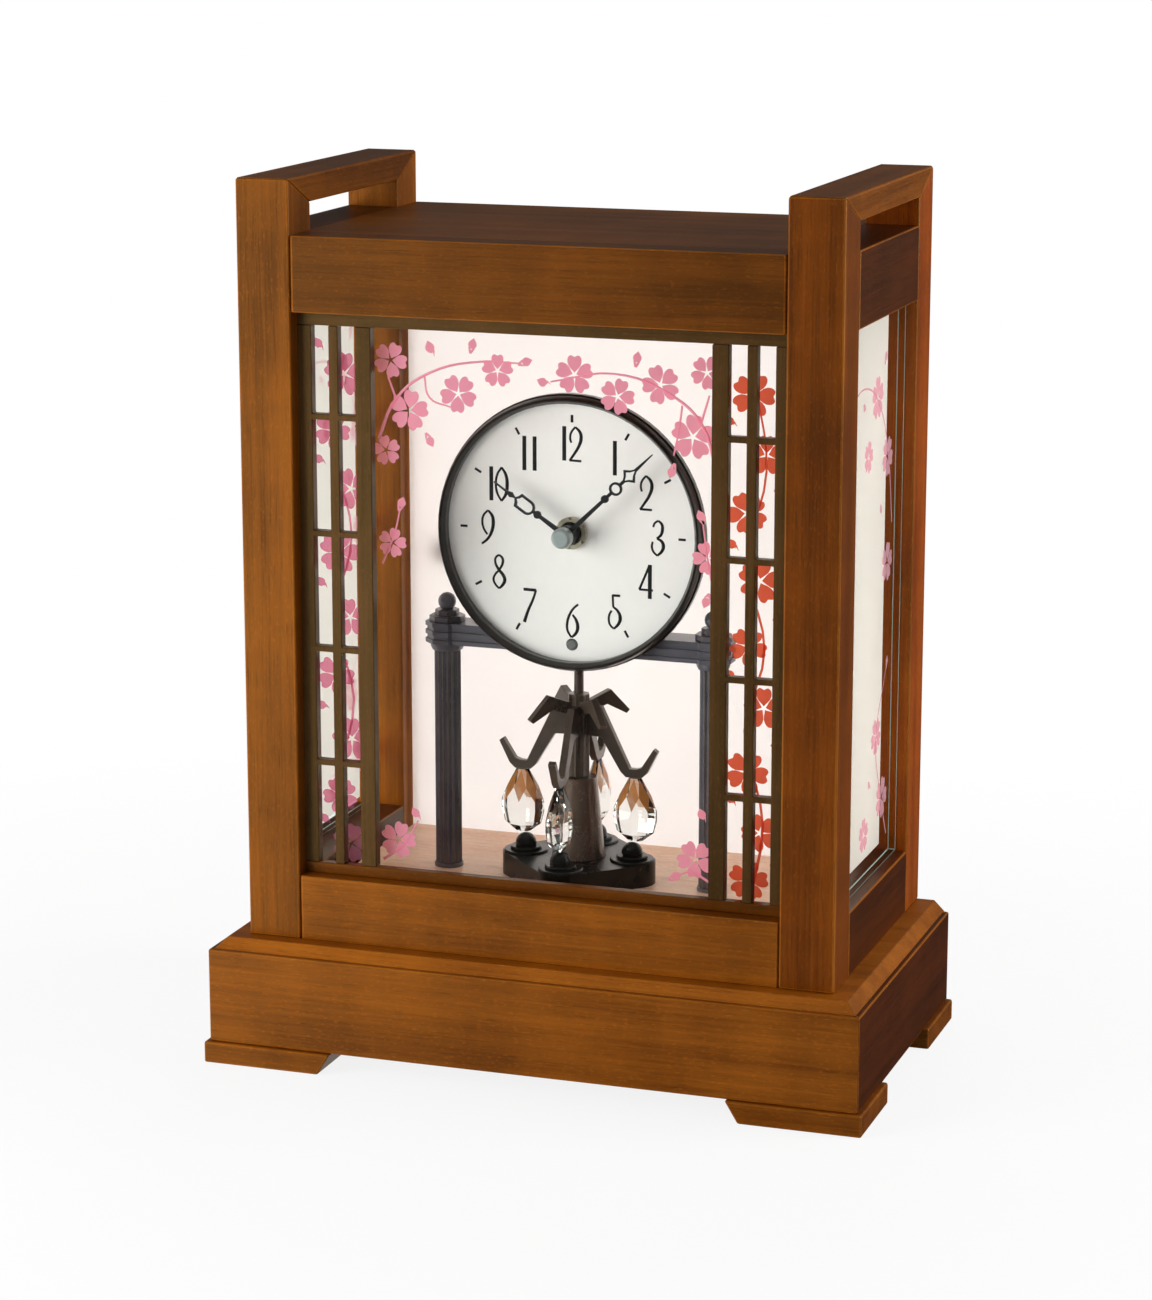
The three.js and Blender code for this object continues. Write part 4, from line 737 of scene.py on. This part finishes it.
# painted reflection: the kites take the case wood's colour as if they mirrored it
kite_glass = cut_glass("crystal_kites", outside=REFLECTED_WOOD_DARK, clarity=0.15)
for name in ("right", "rear", "left", "front"):
    low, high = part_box("crystal_" + name)
    collar_glass = panel_glass if name == CLEAR_DROP else kite_glass
    drop = finished("crystal_" + name, 0, [panel_glass, collar_glass])
    bpy.ops.object.shade_flat()
    for facet in drop.data.polygons:
        heights = [drop.data.vertices[index].co.z for index in facet.vertices]
        foot = (min(heights) - low.z) / (high.z - low.z)
        head = (max(heights) - low.z) / (high.z - low.z)
        facet.material_index = int(foot < KITE_FOOT and head > KITE_HEAD)

# Lattice: two upright frames with two rows of narrow lights, and a strip above and below the glass,
# halved together from thin bars and set back between the posts in front of the pane.
LATTICE_EASE = 0.4 * MM
lattice_wood = stained_set("lattice_wood", srgb(60, 38, 16), srgb(88, 58, 30))
for side in ("left", "right"):
    finished("lattice_" + side, LATTICE_EASE, [lattice_wood["z"]], openwork=True)
finished("lattice_top_strip", LATTICE_EASE, [lattice_wood["x"]])
finished("lattice_bottom_strip", LATTICE_EASE, [painted_shade_deep["x"]])

# Panes: polished float glass in the front and in both sides, with ground arrises, held in grooves.
# The front one hardly mirrors, and the side ones mirror more of the room.
PANE_EASE = 0.3 * MM
PANE_IOR = 1.5


def clear_pane(name, gloss):
    """Clear glass: it lets light straight through, and mirrors more at a flat angle."""
    finish, tree = new_finish(name)
    front_side = 1 - tree.node("ShaderNodeNewGeometry", {}, {}, "Backfacing")
    gleam = tree.node("ShaderNodeFresnel", {}, {"IOR": PANE_IOR}) * front_side * gloss
    wiped = tree.even_noise(18, detail=2)
    polish = tree.principled({
        "Base Color": srgb(244, 245, 244),
        "Metallic": 1.0,
        "Roughness": wiped * 0.02,
    })
    see_through = tree.node("ShaderNodeBsdfTransparent", {}, {"Color": CLEAR_GLASS})
    tree.surface(tree.node("ShaderNodeMixShader", {}, {0: gleam, 1: see_through, 2: polish}))
    return finish


front_pane = clear_pane("front_pane", gloss=0.15)
side_pane = clear_pane("side_pane", gloss=0.35)
ground_arris, tree = new_finish("ground_pane_edge")
grind = tree.even_noise(1500, detail=2)
tree.surface(tree.principled({
    "Base Color": tree.mix(grind, srgb(150, 186, 172), srgb(196, 218, 208)),
    "Roughness": 0.4 + grind * 0.2,
}))
finished("front_glass", PANE_EASE, [front_pane, ground_arris])
for side in ("left", "right"):
    finished("side_glass_" + side, PANE_EASE, [side_pane, ground_arris])

# Blossom print: sprays of five-petalled blossoms, buds and stems on the inner faces of the panes, in
# pink ink, which is sheerer on the left and on the sides; behind the right lattice the pink ink's shaded
# look is painted as a coral ink, painted shade. Light from behind glows through the ink.
INK_THICKNESS = 0.03 * MM
PETALS = 5
PETAL = [(0, 0.1), (-0.37, 0.6), (-0.25, 0.97), (0, 0.9), (0.25, 0.97), (0.37, 0.6)]
PETAL_CORNERS = (0, 3)
BUD = [(0, 0), (-0.36, 0.42), (0, 1.0), (0.36, 0.42)]
BUD_CORNERS = (0, 2)
BUD_SEPAL = [(-0.1, -0.3), (-0.3, 0.2), (0, 0.1), (0.3, 0.2), (0.1, -0.3)]
BUD_SEPAL_CORNERS = (0, 1, 2, 3, 4)
INK_GLOW = 0.55  # share of the light that comes through the ink from behind


def one_coat(tree, coat):
    """Shows a coat on the side turned to the viewer, and leaves the far side of its thin sheet bare."""
    far_side = tree.node("ShaderNodeNewGeometry", {}, {}, "Backfacing")
    bare = tree.node("ShaderNodeBsdfTransparent", {}, {})
    tree.surface(tree.node("ShaderNodeMixShader", {}, {0: far_side, 1: coat, 2: bare}))


def blossom_ink(name, thin, full, backlit, sheer):
    """Printing ink on glass: lit from the front, glowing with the light behind it, and partly sheer."""
    finish, tree = new_finish(name)
    bleed = tree.even_noise(600, detail=3)
    lit_ink = tree.principled({
        "Base Color": tree.mix(bleed, thin, full),
        "Roughness": 0.5,
        "Specular IOR Level": 0.1,
    })
    backlit_ink = tree.node("ShaderNodeBsdfTranslucent", {}, {"Color": backlit})
    dense_ink = tree.node("ShaderNodeMixShader", {}, {0: INK_GLOW, 1: lit_ink, 2: backlit_ink})
    sheer_ink = tree.node("ShaderNodeBsdfTransparent", {}, {"Color": backlit})
    one_coat(tree, tree.node("ShaderNodeMixShader", {}, {0: sheer, 1: dense_ink, 2: sheer_ink}))
    return finish


pink_ink = blossom_ink(
    "pink_blossom_ink", srgb(255, 166, 204), srgb(255, 180, 214), srgb(255, 150, 140), sheer=0.0)
sheer_pink = blossom_ink(
    "sheer_blossom_ink", srgb(255, 176, 208), srgb(255, 190, 218), srgb(255, 158, 190), sheer=0.6)
faint_pink = blossom_ink(
    "faint_blossom_ink", srgb(255, 200, 220), srgb(255, 212, 228), srgb(255, 196, 212), sheer=0.4)
# painted shade: the pink ink's look in the lattice's shadow, painted as a coral ink
painted_shade_coral = blossom_ink(
    "painted_shade_blossom_ink", srgb(236, 104, 76), srgb(244, 118, 90), srgb(250, 112, 80), sheer=0.35)


def turned(outline, place_x, place_z, size, degrees):
    """An outline turned clockwise, scaled and moved, in millimetres."""
    sine = math.sin(math.radians(degrees))
    cosine = math.cos(math.radians(degrees))
    return [
        (place_x + size * (x * cosine + z * sine), place_z + size * (z * cosine - x * sine))
        for x, z in outline
    ]


def filled_drawing(name, outlines):
    """Flat filled shapes, each a list of (right, up) in millimetres and its corner points."""
    curve = bpy.data.curves.new(name, "CURVE")
    curve.dimensions = "2D"
    curve.fill_mode = "BOTH"
    curve.extrude = INK_THICKNESS / 2
    curve.resolution_u = 4
    for points, corners in outlines:
        spline = curve.splines.new("BEZIER")
        spline.bezier_points.add(len(points) - 1)
        spline.use_cyclic_u = True
        for index, (right, up) in enumerate(points):
            point = spline.bezier_points[index]
            point.co = (right * MM, up * MM, 0)
            point.handle_left_type = point.handle_right_type = "VECTOR" if index in corners else "AUTO"
    drawing = bpy.data.objects.new(name, curve)
    bpy.context.scene.collection.objects.link(drawing)
    work_on(drawing)
    bpy.ops.object.convert(target="MESH")
    drawing = bpy.context.object
    drawing.data.transform(Matrix.Rotation(math.pi / 2, 4, "X"))
    return drawing


def blossom_print(name, ink, blossoms, buds, stems):
    """Blossoms and buds as (right, up, size, turn) and stems as pen strokes, as one print."""
    outlines = []
    for right, up, size, turn in blossoms:
        for petal in range(PETALS):
            outlines.append((turned(PETAL, right, up, size, turn + petal * 360 / PETALS), PETAL_CORNERS))
    for right, up, size, turn in buds:
        outlines.append((turned(BUD, right, up, size, turn), BUD_CORNERS))
        outlines.append((turned(BUD_SEPAL, right, up, size, turn), BUD_SEPAL_CORNERS))
    flowers = filled_drawing(name, outlines)
    twigs = pen_drawing(name + "_stems", stems)
    work_on(flowers)
    twigs.select_set(True)
    bpy.ops.object.join()
    flowers.data.materials.clear()
    flowers.data.materials.append(ink)
    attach(flowers, "case")
    return flowers


WINDOW_BLOSSOMS = [
    (-52, 247, 7.5, 10), (-33, 254, 7, 40), (-18, 263, 6, 0), (-59, 265, 6.5, 25), (-61, 232, 5.5, 60),
    (55, 243, 8, 5), (43, 261, 7, 50), (27, 256, 6.5, 20), (11, 263, 7, 0), (60, 266, 6, 30),
    (-59, 198, 5.5, 15), (61, 200, 6, 50), (-58, 86, 7, 15), (57, 89, 7, 40),
]
WINDOW_BUDS = [
    (-43, 268, 5, -20), (-28, 270, 4.5, 15), (-9, 266, 4.5, 70), (-45, 238, 4.5, 150), (-56, 211, 4.5, 20),
    (34, 268, 4.5, 10), (1, 259, 4.5, -70), (48, 232, 4.5, 200), (59, 213, 4.5, -25), (61, 186, 4.5, 200),
    (-50, 95, 4.5, -30), (48, 81, 4.5, 60), (60, 104, 4.5, -20),
]
WINDOW_STEMS = [
    [(-64, 236, 1.5), (-57, 251, 1.3), (-44, 261, 1.1), (-24, 266, 0.9), (-10, 266, 0.7)],
    [(-46, 260, 0.9), (-44, 252, 0.8), (-36, 249, 0.7)], [(-57, 251, 1.1), (-60, 259, 0.8)],
    [(64, 230, 1.5), (58, 248, 1.3), (46, 258, 1.1), (26, 264, 0.9), (2, 260, 0.7)],
    [(51, 254, 0.9), (50, 246, 0.8), (48, 236, 0.7)], [(58, 248, 1.1), (61, 258, 0.8)],
    [(-64, 78, 1.3), (-56, 84, 1.0), (-50, 94, 0.7)], [(64, 80, 1.3), (55, 84, 1.0), (50, 82, 0.7)],
    [(-63, 190, 1.0), (-58, 202, 0.8), (-56, 210, 0.7)], [(64, 184, 1.0), (61, 198, 0.8), (59, 212, 0.7)],
]
COLUMN_BLOSSOMS = [
    (77, 259, 8, 20), (82, 238, 7, 0), (75, 217, 7.5, 45), (80, 193, 8, 10), (76, 169, 7, 30),
    (82, 147, 7.5, 0), (76, 123, 8, 25), (81, 101, 7, 50), (77, 83, 7.5, 10),
]
COLUMN_BUDS = [
    (70, 248, 4.5, -50), (86, 226, 4.5, 50), (71, 204, 4.5, -40), (86, 180, 4.5, 40), (71, 157, 4.5, -50),
    (86, 134, 4.5, 60), (71, 111, 4.5, -30), (86, 90, 4.5, 40), (86, 268, 4.5, 30),
]
COLUMN_STEMS = [
    [(78, 77, 1.3), (82, 105, 1.1), (75, 138, 1.1), (82, 168, 1.0), (75, 200, 1.0), (82, 232, 0.9),
     (77, 266, 0.8)],
]
LEFT_COLUMN_TURN = 24  # degrees that the left column's blossoms are turned against the right one's
SIDE_BLOSSOMS = [
    (20, 250, 8, 0), (36, 226, 7.5, 30), (8, 230, 6, 15), (38, 186, 7.5, 10), (26, 122, 7, 40),
    (36, 96, 8, 20), (10, 88, 6.5, 0), (-24, 244, 7, 20), (-30, 92, 7, 35),
]
SIDE_BUDS = [
    (30, 262, 4.5, 30), (2, 248, 4, -50), (28, 206, 4, -20), (40, 146, 4, 20), (18, 104, 4, -40),
    (-12, 258, 4, 10), (-18, 82, 4, 60),
]
SIDE_STEMS = [
    [(44, 200, 1.3), (38, 224, 1.1), (24, 246, 1.0), (0, 256, 0.8), (-22, 250, 0.7)],
    [(44, 80, 1.3), (34, 98, 1.1), (26, 120, 1.0), (40, 146, 0.7)],
]
left_blossoms = [(-x, z, size, LEFT_COLUMN_TURN - turn) for x, z, size, turn in COLUMN_BLOSSOMS]
left_buds = [(-x, z, size, -turn) for x, z, size, turn in COLUMN_BUDS]
left_stems = [[(-x, z, width) for x, z, width in stem] for stem in COLUMN_STEMS]
front_prints = [
    blossom_print("window_blossoms", pink_ink, WINDOW_BLOSSOMS, WINDOW_BUDS, WINDOW_STEMS),
    blossom_print("left_column_blossoms", sheer_pink, left_blossoms, left_buds, left_stems),
    blossom_print("right_column_blossoms", painted_shade_coral, COLUMN_BLOSSOMS, COLUMN_BUDS, COLUMN_STEMS),
]
pane_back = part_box("front_glass")[1].y
for front_print in front_prints:
    front_print.data.transform(Matrix.Translation((0, pane_back + INK_THICKNESS, 0)))


def onto_side_pane(drawing, side, depth):
    """Lays a drawing on the inner face of a side pane, so far in from the glass."""
    outer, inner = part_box("side_glass_" + side)
    inside = inner.x + depth if side == "left" else outer.x - depth
    drawing.data.transform(Matrix.Translation((inside, 0, 0)) @ Matrix.Rotation(math.pi / 2, 4, "Z"))


for side in ("left", "right"):
    side_print = blossom_print("side_blossoms_" + side, faint_pink, SIDE_BLOSSOMS, SIDE_BUDS, SIDE_STEMS)
    onto_side_pane(side_print, side, INK_THICKNESS)

# Side films: a white frosted film inside each side pane, over its print, that hides the inside of the
# case and lets light in; its white also stands for the bright reflection on the side panes, a painted
# reflection. A border of the pane is left clear around it.
FILM_DEPTH = 5 * INK_THICKNESS
FILM_SIDE_GAP = 14 * MM
FILM_BOTTOM_GAP = 6 * MM
FILM_TOP_GAP = 2 * MM
FILM_CORNERS = (0, 1, 2, 3)
FILM_GLOW = 0.55  # share of the light that the film passes on
# painted reflection: the film's white also stands in for a bright source mirrored in the side panes
frosted_reflection_film, tree = new_finish("frosted_reflection_film")
frost = tree.even_noise(300, detail=3)
film_front = tree.principled({
    "Base Color": tree.mix(frost, srgb(250, 243, 234), srgb(254, 248, 240)),
    "Roughness": 0.6 + frost * 0.2,
    "Specular IOR Level": 0.2,
})
film_back = tree.node("ShaderNodeBsdfTranslucent", {}, {"Color": srgb(255, 250, 242)})
one_coat(tree, tree.node("ShaderNodeMixShader", {}, {0: FILM_GLOW, 1: film_front, 2: film_back}))
for side in ("left", "right"):
    front = (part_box("post_front_" + side)[1].y + FILM_SIDE_GAP) / MM
    rear = (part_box("post_rear_" + side)[0].y - FILM_SIDE_GAP) / MM
    bottom = (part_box("lower_rail_" + side)[1].z + FILM_BOTTOM_GAP) / MM
    top = (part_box("upper_rail_" + side)[0].z - FILM_TOP_GAP) / MM
    outline = [(front, bottom), (rear, bottom), (rear, top), (front, top)]
    film = filled_drawing("side_film_" + side, [(outline, FILM_CORNERS)])
    onto_side_pane(film, side, FILM_DEPTH)
    film.data.materials.append(frosted_reflection_film)
    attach(film, "case")

# Back door: an opal sheet held in two steel clips, whose pins turn in the case, with a turned brass
# knob to pull it open.
DOOR_EASE = 0.4 * MM
OPAL_GLOW = 0.85  # share of the light that the sheet passes on
opal, tree = new_finish("opal_sheet")
milk = tree.even_noise(25, detail=2)
front_lit = tree.principled({
    "Base Color": tree.mix(milk, srgb(252, 246, 245), srgb(253, 249, 248)),
    "Roughness": 0.35 + milk * 0.1,
})
back_lit = tree.node("ShaderNodeBsdfTranslucent", {}, {"Color": srgb(255, 250, 248)})
tree.surface(tree.node("ShaderNodeMixShader", {}, {0: OPAL_GLOW, 1: front_lit, 2: back_lit}))
finished("rear_door", DOOR_EASE, [opal])
finished("door_pivot_top", METAL_EASE, [bright_steel])
finished("door_pivot_bottom", METAL_EASE, [bright_steel])
finished("door_knob", METAL_EASE, [pale_brass])
